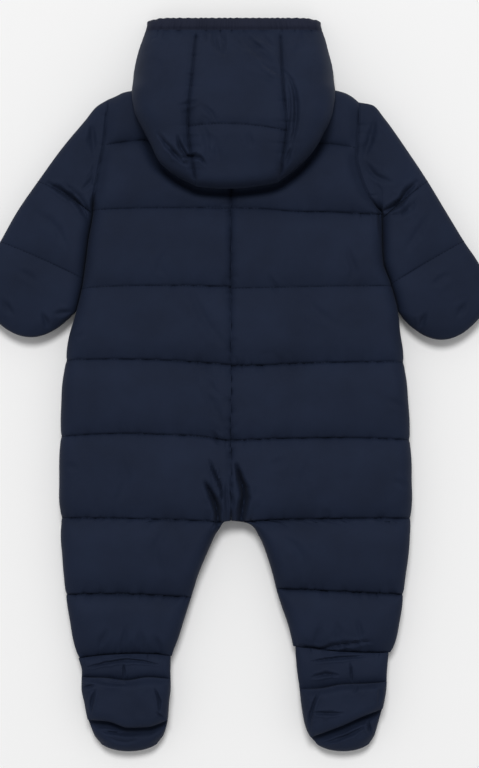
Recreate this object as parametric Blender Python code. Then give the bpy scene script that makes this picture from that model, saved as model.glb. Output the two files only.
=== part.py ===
"""A baby snowsuit of padded cloth, laid flat on its front with its hood thrown back.

The suit lies on the plane z = 0, its back upwards and its hood towards +Y. Every cut piece is
one padded wall: a grid of points with an outer face, quilted where the piece is quilted, over a
plain inner face. Backs lie on fronts, and pieces that are sewn together stand SEAM_GAP apart.
The tables are in millimetres, and left means the wearer's left, at -X.
"""

import math

import bmesh
import bpy
import numpy as np

MM = 0.001
SEAM_GAP = 0.3          # between pieces that are sewn together
MIDPLANE = 15.0         # height of the plane where backs lie on fronts
RIM = 1.85              # thickness of a wall where it is turned in at a seam
CENTRE_X = -3.5         # centre-back seam
NECK_Y = 253.8          # top edge of the body under the hood

QUILT_DEPTH = 6.0       # crown of a channel above its stitch line
SLEEVE_QUILT_DEPTH = 4.5
SCALLOP = 1.4           # the outline draws in by this at a stitch line
SCALLOP_FROM_Y = 140.0  # below this the sides are free of the sleeves
SIDE_ROLL = 21.0        # radius in plan of the roll along a free edge
UNDERARM_ROLL = 18.0    # the same along the sleeve's underarm edge
SHOULDER_ROLL = 15.0
FRONT_ROLL = 13.0
SEAM_ROLL = 8.0         # the same along a seam between two backs
ARMHOLE_HEIGHT = 25.0
ARMHOLE_END_STEP = 0.15 # how far down a sleeve the armhole's curve is felt
UNDERARM_GAP = 0.6      # more than a seam's gap, where a sleeve lies along the side unsewn
SIDE_FREE_Y = 165.0     # below this the front's side edge is free
INSEAM_FREE_Y = -112.0  # below this its inner edge is free too
ZIP_HALF = 4.2          # half the width of the zip between the fronts
ZIP_END_Y = -100.5
ZIP_CLEARANCE = 7.0     # how far past the zip's end the fronts close
ZIP_BOTTOM = 1.2
ZIP_TOP = 4.0
ZIP_HEAD_DROP = 14.0    # the zip's head below the neck edge
SLIDER_DROP = (20.0, 32.0)
SLIDER_HEIGHT = 1.0

HOOD_REST = 37.4        # height of the hood's underside over the back
HOOD_WALL = 9.5         # wall of the hood beyond the shoulders
HOOD_LEAST_WALL = 2.4
HOOD_TURN = 8.0         # how far in from its foot the hood's wall leaves the floor
HOOD_RELIEF_ROLL = 12.0 # its seams and folds fade out over this from its outline
HOOD_SEAM_DIP = 3.2
HOOD_EDGE_DIP = 2.0
HOOD_SEAM_REACH = 5.0
HOOD_LINE_DIP = 3.0
HOOD_MOUTH_Y = 313.2
HOOD_CLEAR_Y = 258.5    # beyond this the hood is open underneath
HOOD_LIFT = (282.0, 243.0)  # between these the hood's foot rises from the floor to the back
CASING_WIDTH = 11.6
CASING_CORNER = 0.2     # share of its width that the casing loses at its corners
CASING_LIP_ROLL = 6.5
CASING_LIP = 2.2        # thickness of its free edge
CASING_THICK = 9.0
CASING_GATHERS = 24
GATHER_HEIGHT = 0.9

BAND_GATHERS = 7
BAND_GATHER_HEIGHT = 0.7

CLOTH = ("navy_padded_cloth", (0.0144, 0.0212, 0.0437), 0.62, 0.0)
CASING_CLOTH = ("navy_casing_cloth", (0.0123, 0.0160, 0.0331), 0.66, 0.0)
ZIP_TAPE = ("navy_zip_tape", (0.0103, 0.0137, 0.0273), 0.55, 0.0)

# The suit's outline at heights on the back: the centre seam or inseam, and the side.
BODY = np.array([
    # y       inner_l  outer_l  inner_r  outer_r
    (253.8,   -3.5,  -111.4,   -3.5,   109.7),
    (229.9,   -3.5,  -114.1,   -3.5,   109.0),
    (209.6,   -3.5,  -116.3,   -3.5,   107.7),
    (199.0,   -3.5,  -118.5,   -3.5,   107.2),
    (184.8,   -3.5,  -121.2,   -3.5,   110.5),
    (170.7,   -3.5,  -123.4,   -3.5,   115.9),
    (156.5,   -3.5,  -125.3,   -3.5,   125.1),
    (151.2,   -3.5,  -125.8,   -3.5,   130.0),
    (126.5,   -3.5,  -130.0,   -3.5,   130.4),
    (108.8,   -3.5,  -132.2,   -3.5,   131.3),
    (89.3,    -3.5,  -134.9,   -3.5,   138.0),
    (64.6,    -3.5,  -140.6,   -3.5,   144.4),
    (43.3,    -3.5,  -146.8,   -3.5,   147.0),
    (29.2,    -3.5,  -149.5,   -3.5,   149.6),
    (8.0,     -3.5,  -152.1,   -3.5,   151.5),
    (-13.3,   -3.5,  -153.9,   -3.5,   153.3),
    (-34.5,   -3.5,  -154.8,   -3.5,   155.1),
    (-62.8,   -3.5,  -155.8,   -3.5,   156.2),
    (-98.2,   -3.5,  -155.8,   -3.5,   156.8),
    (-119.4,  -3.5,  -155.0,   -3.5,   156.2),
    (-122.9,  -9.0,  -154.8,    8.0,   156.0),
    (-126.5, -12.6,  -154.6,   15.0,   155.8),
    (-133.5, -16.9,  -154.3,   19.7,   155.3),
    (-140.6, -20.3,  -153.9,   24.1,   154.8),
    (-154.8, -27.0,  -153.0,   29.4,   153.3),
    (-168.9, -32.7,  -152.1,   33.6,   151.6),
    (-183.1, -37.1,  -151.0,   37.1,   150.2),
    (-197.2, -41.5,  -148.6,   41.6,   148.0),
    (-211.4, -46.0,  -145.9,   46.6,   145.3),
    (-225.5, -50.4,  -143.5,   50.2,   142.7),
    (-236.1, -54.6,  -141.2,   52.2,   139.4),
    (-243.2, -56.6,  -139.0,   53.4,   136.8),
])

# Heights of the stitch lines at the inner edge, half way and at the side, from shoulder to ankle.
QUILT_LINES = np.array([
    # inner_l   mid_l   outer_l  inner_r   mid_r   outer_r
    (222.0,    217.0,   214.5,   217.6,    215.0,   213.6),
    (156.5,    159.2,   156.5,   157.4,    154.2,   151.2),
    (86.7,      89.6,    89.8,    87.0,     88.6,    89.0),
    (17.7,      23.5,    23.9,    18.0,     20.8,    22.1),
    (-49.5,    -43.0,   -45.1,   -49.1,    -46.6,   -47.5),
    (-119.0,  -118.2,  -116.7,  -119.0,   -116.9,  -116.7),
    (-187.5,  -184.4,  -184.8,  -179.1,   -182.0,  -184.4),
    (-240.1,  -238.4,  -242.3,  -231.3,   -236.6,  -237.0),
])

# The body's top edge from the centre seam to the armhole: level at the neck, sloping outwards.
SHOULDER = np.array([
    # place   left    right
    (0.00,   253.8,  253.8),
    (0.45,   253.8,  253.8),
    (0.62,   256.6,  256.6),
    (0.80,   260.0,  260.4),
    (0.88,   258.5,  258.5),
    (0.94,   255.4,  255.2),
    (1.00,   252.6,  249.8),
])

# Height of the suit over the floor, and of its inner edge, down its length.
BODY_HEIGHT = np.array([
    # y        crown   inner_edge  inner_roll
    (253.8,    34.0,   30.0,       8.0),
    (200.0,    36.6,   32.6,       8.0),
    (60.0,     37.0,   32.5,       8.0),
    (-60.0,    36.6,   31.5,       8.0),
    (-104.0,   36.0,   30.0,       9.0),
    (-121.0,   35.0,   21.0,      13.0),
    (-135.0,   34.5,   17.2,      18.0),
    (-185.0,   32.0,   16.9,      20.0),
    (-222.0,   29.0,   16.9,      18.0),
    (-243.2,   24.5,   16.9,      15.0),
])

# Height of the side's edge: high where a sleeve is sewn on, low where the side runs free.
SIDE_EDGE = np.array([
    # y       left_h  left_roll  right_h  right_roll
    (253.8,   22.0,    9.0,      22.0,     9.0),
    (235.0,   26.0,    9.0,      26.0,     9.0),
    (176.0,   25.0,    9.0,      25.0,     9.0),
    (160.0,   20.0,   14.0,      20.0,    14.0),
    (148.0,   16.9,   21.0,      16.9,    21.0),
    (-200.0,  16.9,   21.0,      16.9,    21.0),
    (-243.2,  16.9,   16.0,      16.9,    16.0),
])

# Both edges of a sleeve from the armhole to the tip of the mitt, with how far a row bows.
SLEEVE_LEFT = np.array([
    # step   outer_x  outer_y  inner_x  inner_y   bow   crown
    (0.00,   -111.4,   252.6,  -125.6,   156.5,   0.0,  29.0),
    (0.08,   -122.4,   246.0,  -125.9,   155.6,   0.4,  30.0),
    (0.17,   -132.3,   234.0,  -126.3,   154.6,   1.0,  31.0),
    (0.34,   -153.0,   209.2,  -127.0,   151.6,   3.0,  31.5),
    (0.50,   -173.6,   181.0,  -128.0,   146.0,   4.5,  31.5),
    (0.61,   -192.2,   153.9,  -131.6,   121.0,   2.0,  31.5),
    (0.72,   -206.2,   129.0,  -135.2,    93.5,   0.5,  30.5),
    (0.82,   -217.9,   108.0,  -138.6,    79.6,  -3.0,  29.5),
    (0.92,   -225.5,    84.0,  -141.4,    67.6, -10.0,  27.5),
    (1.00,   -217.5,    62.8,  -145.4,    60.0, -19.5,  25.0),
])
SLEEVE_RIGHT = np.array([
    # step   outer_x  outer_y  inner_x  inner_y   bow   crown
    (0.00,    109.7,   249.8,   130.3,   151.2,   0.0,  29.0),
    (0.08,    121.6,   247.4,   130.7,   150.5,   0.4,  30.0),
    (0.17,    131.9,   236.0,   131.2,   149.6,   1.0,  31.0),
    (0.34,    151.6,   208.4,   131.8,   146.2,   3.0,  31.5),
    (0.50,    170.5,   180.0,   132.2,   138.0,   4.5,  31.5),
    (0.61,    186.8,   153.0,   133.0,   114.0,   2.0,  31.5),
    (0.72,    202.6,   128.0,   139.4,    89.0,   0.5,  30.5),
    (0.82,    217.4,   104.0,   143.6,    75.2,  -3.0,  29.5),
    (0.92,    225.5,    80.0,   146.2,    66.4, -10.0,  27.5),
    (1.00,    218.0,    60.6,   148.6,    58.6, -20.0,  25.0),
])
SLEEVE_LINES = (0.0, 0.50, 0.72, 1.0)

# The hood seen from above: its two seams, its two sides, and its height along the centre.
HOOD_SEAMS = np.array([
    # y       left    right
    (324.6,  -33.4,   40.0),
    (313.3,  -33.9,   40.1),
    (295.7,  -35.4,   40.5),
    (270.0,  -37.3,   41.5),
    (242.8,  -40.0,   43.6),
    (225.0,  -40.7,   45.4),
    (211.6,  -40.0,   43.8),
    (196.7,  -37.3,   41.6),
    (187.5,  -35.8,   40.7),
    (172.0,  -33.4,   36.4),
])
HOOD_SIDES = np.array([
    # y       left    right
    (319.0,  -78.3,   76.4),
    (313.3,  -79.9,   78.0),
    (305.1,  -82.6,   80.6),
    (298.0,  -85.1,   82.4),
    (291.0,  -87.0,   84.2),
    (283.9,  -88.6,   86.0),
    (273.3,  -90.2,   87.6),
    (259.1,  -90.8,   88.2),
    (240.1,  -88.2,   86.0),
    (231.0,  -84.6,   83.4),
    (219.8,  -78.7,   77.6),
    (211.0,  -74.2,   73.0),
    (195.4,  -66.4,   60.8),
    (187.6,  -58.2,   52.0),
    (181.8,  -50.1,   44.2),
])
HOOD_HEIGHT = np.array([
    # y       crown   side_roll
    (324.6,   22.0,   16.0),
    (313.2,   25.0,   20.0),
    (300.0,   36.0,   26.0),
    (285.0,   48.0,   31.0),
    (268.0,   59.0,   34.0),
    (250.0,   67.0,   32.0),
    (228.0,   71.0,   30.0),
    (205.0,   70.0,   28.0),
    (190.0,   68.0,   26.0),
    (172.0,   66.0,   24.0),
])
# The rows of the hood's side panels: where each starts on the seam and ends on the outline.
HOOD_ROWS = np.array([
    # seam_y   edge_y
    (313.2,   313.2),
    (311.0,   311.0),
    (305.0,   305.0),
    (297.0,   297.0),
    (287.0,   287.0),
    (276.5,   276.5),
    (267.0,   267.0),
    (258.5,   258.5),
    (251.5,   251.5),
    (243.0,   243.0),
    (236.0,   235.0),
    (231.5,   228.0),
    (227.0,   221.5),
    (220.0,   214.0),
    (211.0,   206.5),
    (202.0,   199.5),
    (193.0,   193.0),
    (185.5,   188.6),
    (179.5,   185.4),
    (176.0,   183.4),
    (174.3,   182.3),
    (173.7,   181.8),
])
HOOD_LINE = (229.0, 230.8, 225.6)   # the centre panel's stitch line: left, middle, right
HOOD_HEM = (173.5, 171.9, 177.4)    # its lower edge: left, middle, right
HOOD_RIM_HEIGHT = 43.5
HOOD_FOOT = 2.6

# Feet: edges from the ankle band to the toe, and the sole flap's free edge across the foot.
FOOT_LEFT = np.array([
    # y       inner    outer
    (-243.0,  -57.0,  -138.4),
    (-253.8,  -57.2,  -135.6),
    (-268.0,  -57.0,  -135.8),
    (-282.1,  -58.4,  -133.2),
    (-294.5,  -59.3,  -130.8),
    (-303.3,  -60.9,  -127.8),
    (-311.0,  -63.6,  -124.6),
    (-317.5,  -68.4,  -119.4),
])
FOOT_RIGHT = np.array([
    # y       inner    outer
    (-238.5,   53.6,   136.0),
    (-253.8,   55.0,   134.6),
    (-268.0,   57.0,   134.0),
    (-282.1,   58.5,   131.8),
    (-294.5,   60.4,   128.4),
    (-303.3,   62.5,   126.0),
    (-311.0,   66.2,   123.6),
    (-317.5,   71.6,   119.6),
])
FOOT_STATIONS = (0.0, 0.25, 0.5, 0.75, 1.0)
BAND_LOW = {"left": (-260.4, -258.6, -261.2, -259.0, -258.8),
            "right": (-269.4, -268.2, -264.8, -264.2, -263.0)}
SOLE_EDGE = {"left": (-296.4, -302.4, -303.0, -297.4, -296.0),
             "right": (-311.6, -307.0, -301.4, -293.6, -286.0)}
TOE_BOW = 7.8
TOE_RIM = 13.0
TOE_STEP = 4.5              # where the toe rises in front of the sole flap's edge
FOOT_SIDE_ROLL = 12.0
SOLE_SIDE_ROLL = 15.0
SOLE_CROWN = 33.0
SOLE_SIDE_WALL = 2.6
SOLE_LIP = 8.0              # thickness of the flap's free edge
SOLE_LIP_TUCK = 3.2         # how far that edge stands off the toe
SOLE_BAND_DIP = 4.0         # how far it dips where it is sewn to the band
TOE_UNDER_SOLE = 17.0
SOLE_UNDERSIDE = 17.5
TOE_CROWN = 25.0
BAND_CROWN = 25.0

# The deepest folds: a straight trough between two points, its depth and half its width.
BODY_FOLDS = np.array([
    # x1      y1      x2     y2     depth  half_width
    (-23.0,  -71.0,  -12.5, -104.0,  3.2,   5.5),
    (3.0,    -76.0,    9.5, -118.0,  3.4,   5.5),
])
SLEEVE_FOLDS = np.array([
    # x1      y1      x2      y2     depth  half_width
    (-158.0,  174.0, -131.0,  150.0,  2.6,   6.0),
    (155.0,   174.0,  132.0,  153.0,  2.8,   6.0),
])
HOOD_FOLDS = np.array([
    # x1     y1      x2     y2     depth  half_width
    (46.0,   269.0,  53.6,  252.0,  3.0,   4.5),
    (53.6,   252.0,  53.2,  210.0,  3.0,   4.5),
    (-62.0,  211.0, -52.0,  199.0,  2.4,   4.5),
])

BACK_COLUMNS = (0.0, 0.025, 0.055, 0.09, 0.13, 0.19, 0.28, 0.43, 0.58, 0.73, 0.85, 0.93, 0.975, 1.0)
FRONT_COLUMNS = (0.0, 0.03, 0.09, 0.2, 0.5, 0.8, 0.91, 0.97, 1.0)
CHANNEL_ROWS = (0.0, 0.09, 0.26, 0.5, 0.74, 0.91)
SLEEVE_ROWS = {0: (0.0, 0.05, 0.14, 0.28, 0.44, 0.6, 0.76, 0.9, 0.97),
               1: (0.0, 0.09, 0.27, 0.5, 0.73, 0.91),
               2: (0.0, 0.09, 0.27, 0.5, 0.68, 0.82, 0.92, 0.975)}
SIDE_PANEL_COLUMNS = (0.0, 0.05, 0.13, 0.2, 0.27, 0.35, 0.45, 0.56, 0.66, 0.76, 0.84, 0.9, 0.95,
                      0.985, 1.0)
CENTRE_PANEL_COLUMNS = (0.0, 0.045, 0.13, 0.3, 0.5, 0.7, 0.87, 0.955, 1.0)
CASING_ROWS = (0.0, 0.12, 0.35, 0.62, 0.85, 0.97, 1.0)
FOOT_COLUMNS = (0.0, 0.03, 0.1, 0.22, 0.36, 0.5, 0.64, 0.78, 0.9, 0.97, 1.0)
SIDES = {"left": 0, "right": 1}


def clear_scene():
    for obj in list(bpy.data.objects):
        bpy.data.objects.remove(obj, do_unlink=True)


def material(finish):
    """The Principled material of a finish: name, linear colour, roughness and metallic."""
    name, colour, roughness, metallic = finish
    found = bpy.data.materials.get(name)
    if found:
        return found
    made = bpy.data.materials.new(name)
    made.use_nodes = True
    shader = made.node_tree.nodes["Principled BSDF"]
    shader.inputs["Base Color"].default_value = (*colour, 1.0)
    shader.inputs["Roughness"].default_value = roughness
    shader.inputs["Metallic"].default_value = metallic
    return made


def through(stations, values, at):
    """A curve through the values that never overshoots: cubic, with limited slopes."""
    order = np.argsort(stations)
    s = np.asarray(stations, float)[order]
    v = np.asarray(values, float)[order]
    at = np.clip(at, s[0], s[-1])
    step = np.diff(s)
    rise = np.diff(v) / step
    slope = np.zeros_like(v)
    same = rise[:-1] * rise[1:] > 0
    total = np.where(same, rise[:-1] + rise[1:], 1.0)
    slope[1:-1] = np.where(same, 2 * rise[:-1] * rise[1:] / total, 0.0)
    slope[0] = rise[0]
    slope[-1] = rise[-1]
    k = np.clip(np.searchsorted(s, at) - 1, 0, len(step) - 1)
    h = step[k]
    t = (at - s[k]) / h
    return (v[k] * (1 + 2 * t) * (1 - t) ** 2 + slope[k] * h * t * (1 - t) ** 2
            + v[k + 1] * t * t * (3 - 2 * t) + slope[k + 1] * h * t * t * (t - 1))


def across(low, middle, high, u):
    """The parabola that has these three values at u = 0, 0.5 and 1."""
    return low * (1 - u) * (1 - 2 * u) + 4 * middle * u * (1 - u) + high * u * (2 * u - 1)


def roll(distance, radius):
    """0 at an edge, rising as a quarter circle to 1 at the radius and beyond."""
    t = np.clip(np.asarray(distance, float) / radius, 0.0, 1.0)
    return np.sqrt(np.maximum(0.0, 1 - (1 - t) ** 2))


def puff(t):
    """A channel's height across it: 0 on both stitch lines, 1 over its middle."""
    return 1 - np.abs(2 * t - 1) ** 3


def folds(table, x, y):
    """Depth of all folds of a table together: each fades with distance from its trough."""
    depth = np.zeros_like(x)
    for x1, y1, x2, y2, deep, half_width in table:
        run_x = x2 - x1
        run_y = y2 - y1
        t = np.clip(((x - x1) * run_x + (y - y1) * run_y) / (run_x ** 2 + run_y ** 2), 0, 1)
        away = np.hypot(x - x1 - t * run_x, y - y1 - t * run_y)
        depth = np.maximum(depth, deep * np.exp(-(away / half_width) ** 2))
    return depth


def channel_rows(rows_of, lines):
    """Row positions of quilted channels: channel index and place within it, ending on a line."""
    found = [(k, t) for k in range(lines - 1) for t in rows_of(k)]
    found.append((lines - 2, 1.0))
    return np.array(found)


def edge_loop(rows, columns):
    """Grid indices round the border of a grid, in order."""
    top = [(0, j) for j in range(columns)]
    right = [(i, columns - 1) for i in range(1, rows)]
    low = [(rows - 1, j) for j in range(columns - 2, -1, -1)]
    left = [(i, 0) for i in range(rows - 2, 0, -1)]
    return top + right + low + left


def padded_wall(name, x, y, outer, inner, finish):
    """One closed wall. inner is a grid of heights, or one height for a plain flat face."""
    rows, columns = x.shape
    shell = bmesh.new()
    outer = np.broadcast_to(outer, x.shape)
    face_points = [[shell.verts.new((x[i, j] * MM, y[i, j] * MM, outer[i, j] * MM))
                    for j in range(columns)] for i in range(rows)]
    for i in range(rows - 1):
        for j in range(columns - 1):
            shell.faces.new((face_points[i][j], face_points[i][j + 1],
                             face_points[i + 1][j + 1], face_points[i + 1][j]))
    border = edge_loop(rows, columns)
    if np.ndim(inner) == 0:
        turned = [shell.verts.new((x[i, j] * MM, y[i, j] * MM, inner * MM)) for i, j in border]
        shell.faces.new(turned)
    else:
        back_points = [[shell.verts.new((x[i, j] * MM, y[i, j] * MM, inner[i, j] * MM))
                        for j in range(columns)] for i in range(rows)]
        for i in range(rows - 1):
            for j in range(columns - 1):
                shell.faces.new((back_points[i][j], back_points[i][j + 1],
                                 back_points[i + 1][j + 1], back_points[i + 1][j]))
        turned = [back_points[i][j] for i, j in border]
    rim = [face_points[i][j] for i, j in border]
    for k in range(len(border)):
        n = (k + 1) % len(border)
        shell.faces.new((rim[k], rim[n], turned[n], turned[k]))
    bmesh.ops.recalc_face_normals(shell, faces=shell.faces)
    mesh = bpy.data.meshes.new(name)
    shell.to_mesh(mesh)
    shell.free()
    mesh.materials.append(material(finish))
    mesh.shade_smooth()
    mesh.set_sharp_from_angle(angle=math.radians(50))
    obj = bpy.data.objects.new(name, mesh)
    bpy.context.scene.collection.objects.link(obj)
    return obj


def body_plan(side, columns, rows, inner_offset):
    """Plan of one half of the body and leg: x, y, place in the channel, and distances in."""
    k = SIDES[side]
    sign = (-1, 1)[k]
    u = np.array(columns)[None, :]
    low, middle, high = (QUILT_LINES[:, 3 * k + c][:, None] for c in range(3))
    lines = np.concatenate([through(SHOULDER[:, 0], SHOULDER[:, 1 + k], u),
                            across(low, middle, high, u)])
    at = channel_rows(lambda _: rows, len(lines))
    index = at[:, 0].astype(int)
    t = at[:, 1][:, None]
    y = (1 - t) * lines[index] + t * lines[index + 1]
    inner = through(BODY[:, 0], BODY[:, 1 + 2 * k], y) + sign * inner_offset(y)
    outer = through(BODY[:, 0], BODY[:, 2 + 2 * k], y)
    drawn_in = np.where(y < SCALLOP_FROM_Y, SCALLOP * (1 - puff(t)), 0.0)
    outer = outer - sign * drawn_in
    x = inner + (outer - inner) * u
    return x, y, t, np.abs(x - inner), np.abs(outer - x)


def seam_offset(y):
    return np.full_like(y, SEAM_GAP / 2)


def zip_offset(y):
    """Half the seam gap below the zip, half the zip's width and a gap beside it."""
    opened = np.clip((y - ZIP_END_Y + ZIP_CLEARANCE) / (ZIP_CLEARANCE - 2.0), 0.0, 1.0)
    return SEAM_GAP / 2 + opened * (ZIP_HALF + SEAM_GAP / 2)


def body_top(side, x, y, t, inner_distance, outer_distance):
    """Height of the back's outer face."""
    k = SIDES[side]
    crown = through(BODY_HEIGHT[:, 0], BODY_HEIGHT[:, 1], y)
    z = crown - QUILT_DEPTH * (1 - puff(t))
    edge = through(BODY_HEIGHT[:, 0], BODY_HEIGHT[:, 2], y)
    edge = edge - 0.5 * QUILT_DEPTH * (1 - puff(t)) * (edge > 25.0)
    radius = through(BODY_HEIGHT[:, 0], BODY_HEIGHT[:, 3], y)
    z = edge + (z - edge) * roll(inner_distance, radius)
    edge = through(SIDE_EDGE[:, 0], SIDE_EDGE[:, 1 + 2 * k], y)
    radius = through(SIDE_EDGE[:, 0], SIDE_EDGE[:, 2 + 2 * k], y)
    z = edge + (z - edge) * roll(outer_distance, radius)
    z = z - folds(BODY_FOLDS, x, y) * roll(inner_distance, radius)
    low = MIDPLANE + RIM
    return low + (z - low) * roll(y[:1] - y, SHOULDER_ROLL)


def build_back(side):
    x, y, t, inner_distance, outer_distance = body_plan(
        side, BACK_COLUMNS, CHANNEL_ROWS, seam_offset)
    z = body_top(side, x, y, t, inner_distance, outer_distance)
    return padded_wall("back_" + side, x, y, z, MIDPLANE + SEAM_GAP / 2, CLOTH)


def build_front(side):
    """The front's outer face is the underside, flat on the floor and rolled up at free edges."""
    x, y, _, inner_distance, outer_distance = body_plan(
        side, FRONT_COLUMNS, CHANNEL_ROWS, zip_offset)
    lift = MIDPLANE - RIM
    side_lift = lift * (1 - roll(outer_distance, FRONT_ROLL))
    inner_lift = lift * (1 - roll(inner_distance, FRONT_ROLL))
    side_lift = side_lift * np.clip((SIDE_FREE_Y - y) / FRONT_ROLL, 0, 1)
    inner_lift = inner_lift * np.clip((INSEAM_FREE_Y - y) / FRONT_ROLL, 0, 1)
    shoulder_lift = lift * (1 - roll(y[:1] - y, FRONT_ROLL))
    z = np.maximum(np.maximum(side_lift, inner_lift), shoulder_lift)
    return padded_wall("front_" + side, x, y, z, MIDPLANE - SEAM_GAP / 2, CLOTH)


def sleeve_plan(side, rows_of):
    """Plan of a sleeve from the armhole to the mitt: rows bow, and the first is the armhole."""
    k = SIDES[side]
    sign = (-1, 1)[k]
    table = (SLEEVE_LEFT, SLEEVE_RIGHT)[k]
    body_x, body_y, *_ = body_plan(side, (0.0, 1.0), CHANNEL_ROWS, seam_offset)
    last = 2 * len(CHANNEL_ROWS)
    hole_x = body_x[:last + 1, -1] + sign * SEAM_GAP
    hole_y = body_y[:last + 1, -1]
    u = ((hole_y[0] - hole_y) / (hole_y[0] - hole_y[-1]))[None, :]
    at = channel_rows(rows_of, len(SLEEVE_LINES))
    lines = np.array(SLEEVE_LINES)
    index = at[:, 0].astype(int)
    t = at[:, 1][:, None]
    s = (lines[index] * (1 - at[:, 1]) + lines[index + 1] * at[:, 1])[:, None]
    rails = table.copy()
    rails[0, 1:5] = hole_x[0], hole_y[0], hole_x[-1], hole_y[-1]
    ox, oy, ix, iy, bow, crown = (through(rails[:, 0], rails[:, c], s) for c in range(1, 7))
    length = np.hypot(ix - ox, iy - oy)
    bowed = sign * bow * 4 * u * (1 - u) / length
    x = ox + (ix - ox) * u + (iy - oy) * bowed
    y = oy + (iy - oy) * u + (ox - ix) * bowed
    x = x + (hole_x[None, :] - x[:1]) * np.clip(1 - s / ARMHOLE_END_STEP, 0, 1)
    clear = through(BODY[:, 0], BODY[:, 2 + 2 * k], y) + sign * (SEAM_GAP + UNDERARM_GAP * (s > 0))
    x = np.where((s > 0) & (y < hole_y[-1] + 2.0), sign * np.maximum(sign * x, sign * clear), x)
    down = np.hypot(np.diff(x, axis=0), np.diff(y, axis=0))
    run = np.concatenate([np.zeros((1, x.shape[1])), np.cumsum(down, axis=0)])
    over = np.hypot(np.diff(x, axis=1), np.diff(y, axis=1))
    wide = np.concatenate([np.zeros((x.shape[0], 1)), np.cumsum(over, axis=1)], axis=1)
    return x, y, t, crown, wide, wide[:, -1:] - wide, run, run[-1:] - run


def build_sleeve_back(side):
    x, y, t, crown, outer_distance, inner_distance, run, left_to_go = sleeve_plan(
        side, lambda channel: SLEEVE_ROWS[channel])
    low = MIDPLANE + RIM
    stitched = SLEEVE_QUILT_DEPTH * (1 - puff(t))
    stitched[-1:] = 0
    z = crown - stitched
    z = z - folds(SLEEVE_FOLDS, x, y)
    z = ARMHOLE_HEIGHT + (z - ARMHOLE_HEIGHT) * roll(run, SEAM_ROLL)
    z = low + (z - low) * roll(outer_distance, SIDE_ROLL) * roll(left_to_go, SIDE_ROLL)
    z = low + (z - low) * roll(inner_distance, UNDERARM_ROLL)
    return padded_wall(f"sleeve_{side}_back", x, y, z, MIDPLANE + SEAM_GAP / 2, CLOTH)


def build_sleeve_front(side):
    x, y, _, _, outer_distance, inner_distance, run, left_to_go = sleeve_plan(
        side, lambda channel: SLEEVE_ROWS[channel][::2])
    lift = MIDPLANE - RIM
    free = roll(outer_distance, FRONT_ROLL) * roll(left_to_go, FRONT_ROLL)
    free = free * roll(inner_distance + np.maximum(0, FRONT_ROLL - run), FRONT_ROLL)
    return padded_wall(f"sleeve_{side}_front", x, y, lift * (1 - free),
                       MIDPLANE - SEAM_GAP / 2, CLOTH)


def build_zip():
    """A closed zip between the fronts, with its slider up at the neck."""
    slider_y = [NECK_Y - drop for drop in SLIDER_DROP]
    y = np.array([NECK_Y - ZIP_HEAD_DROP, slider_y[0] + 1.0, slider_y[0], slider_y[1],
                  slider_y[1] - 1.0, 120.0, 0.0, ZIP_END_Y])[:, None]
    across_zip = np.array([-1.0, -0.55, -0.5, 0.5, 0.55, 1.0])[None, :]
    x = CENTRE_X + ZIP_HALF * across_zip + 0 * y
    slider = (np.abs(across_zip) <= 0.5) & (y <= slider_y[0]) & (y >= slider_y[1])
    z = np.where(slider, ZIP_BOTTOM - SLIDER_HEIGHT, ZIP_BOTTOM)
    return padded_wall("front_zip", x, y + 0 * x, z, ZIP_TOP, ZIP_TAPE)


def hood_lift(y):
    """Height of the hood's underside at its outline: on the floor, then up onto the back."""
    t = np.clip((HOOD_LIFT[0] - y) / (HOOD_LIFT[0] - HOOD_LIFT[1]), 0, 1)
    return (HOOD_RIM_HEIGHT - HOOD_FOOT) * t * t * (3 - 2 * t)


def hood_height(y, edge_distance):
    """Height of the hood's outer face, from its crown down to its side or its hem."""
    crown = through(HOOD_HEIGHT[:, 0], HOOD_HEIGHT[:, 1], y)
    radius = through(HOOD_HEIGHT[:, 0], HOOD_HEIGHT[:, 2], y)
    foot = HOOD_FOOT + hood_lift(y)
    return foot + (crown - foot) * roll(edge_distance, radius)


def hood_underside(y, edge_distance):
    """The hood's inner face: a wall over its mouth, and a flat rest where it lies on the back."""
    lift = hood_lift(y)
    wall = np.maximum(hood_height(y, edge_distance - HOOD_TURN) - HOOD_WALL, lift)
    wall = np.where(edge_distance <= HOOD_TURN, lift, wall)
    rest = HOOD_REST + (lift - HOOD_REST) * (1 - roll(edge_distance, HOOD_RELIEF_ROLL))
    return np.where(y >= HOOD_CLEAR_Y - 0.01, wall, rest)


def hood_wall(name, x, y, edge_distance, dips, finish):
    """A hood panel, its seams and folds fading out towards the outline."""
    dips = (dips + folds(HOOD_FOLDS, x, y)) * roll(edge_distance, HOOD_RELIEF_ROLL)
    top = hood_height(y, edge_distance) - dips
    under = np.minimum(hood_underside(y, edge_distance), top - HOOD_LEAST_WALL)
    return padded_wall(name, x, y, top, under, finish)


def hood_seams(x, y):
    """How far the hood's outer face dips at its two seams and along its gathered edge."""
    dip = np.zeros_like(x)
    for c in (1, 2):
        seam = through(HOOD_SEAMS[:, 0], HOOD_SEAMS[:, c], y)
        dip = dip + HOOD_SEAM_DIP * np.exp(-((x - seam) / HOOD_SEAM_REACH) ** 2)
    return dip + HOOD_EDGE_DIP * np.exp(-((y - HOOD_MOUTH_Y) / HOOD_SEAM_REACH) ** 2)


def hood_line(x, y, left, right):
    """The dip along the centre panel's stitch line."""
    u = (x - left) / (right - left)
    line = across(*HOOD_LINE, u)
    return HOOD_LINE_DIP * np.exp(-((y - line) / 4.5) ** 2)


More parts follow.
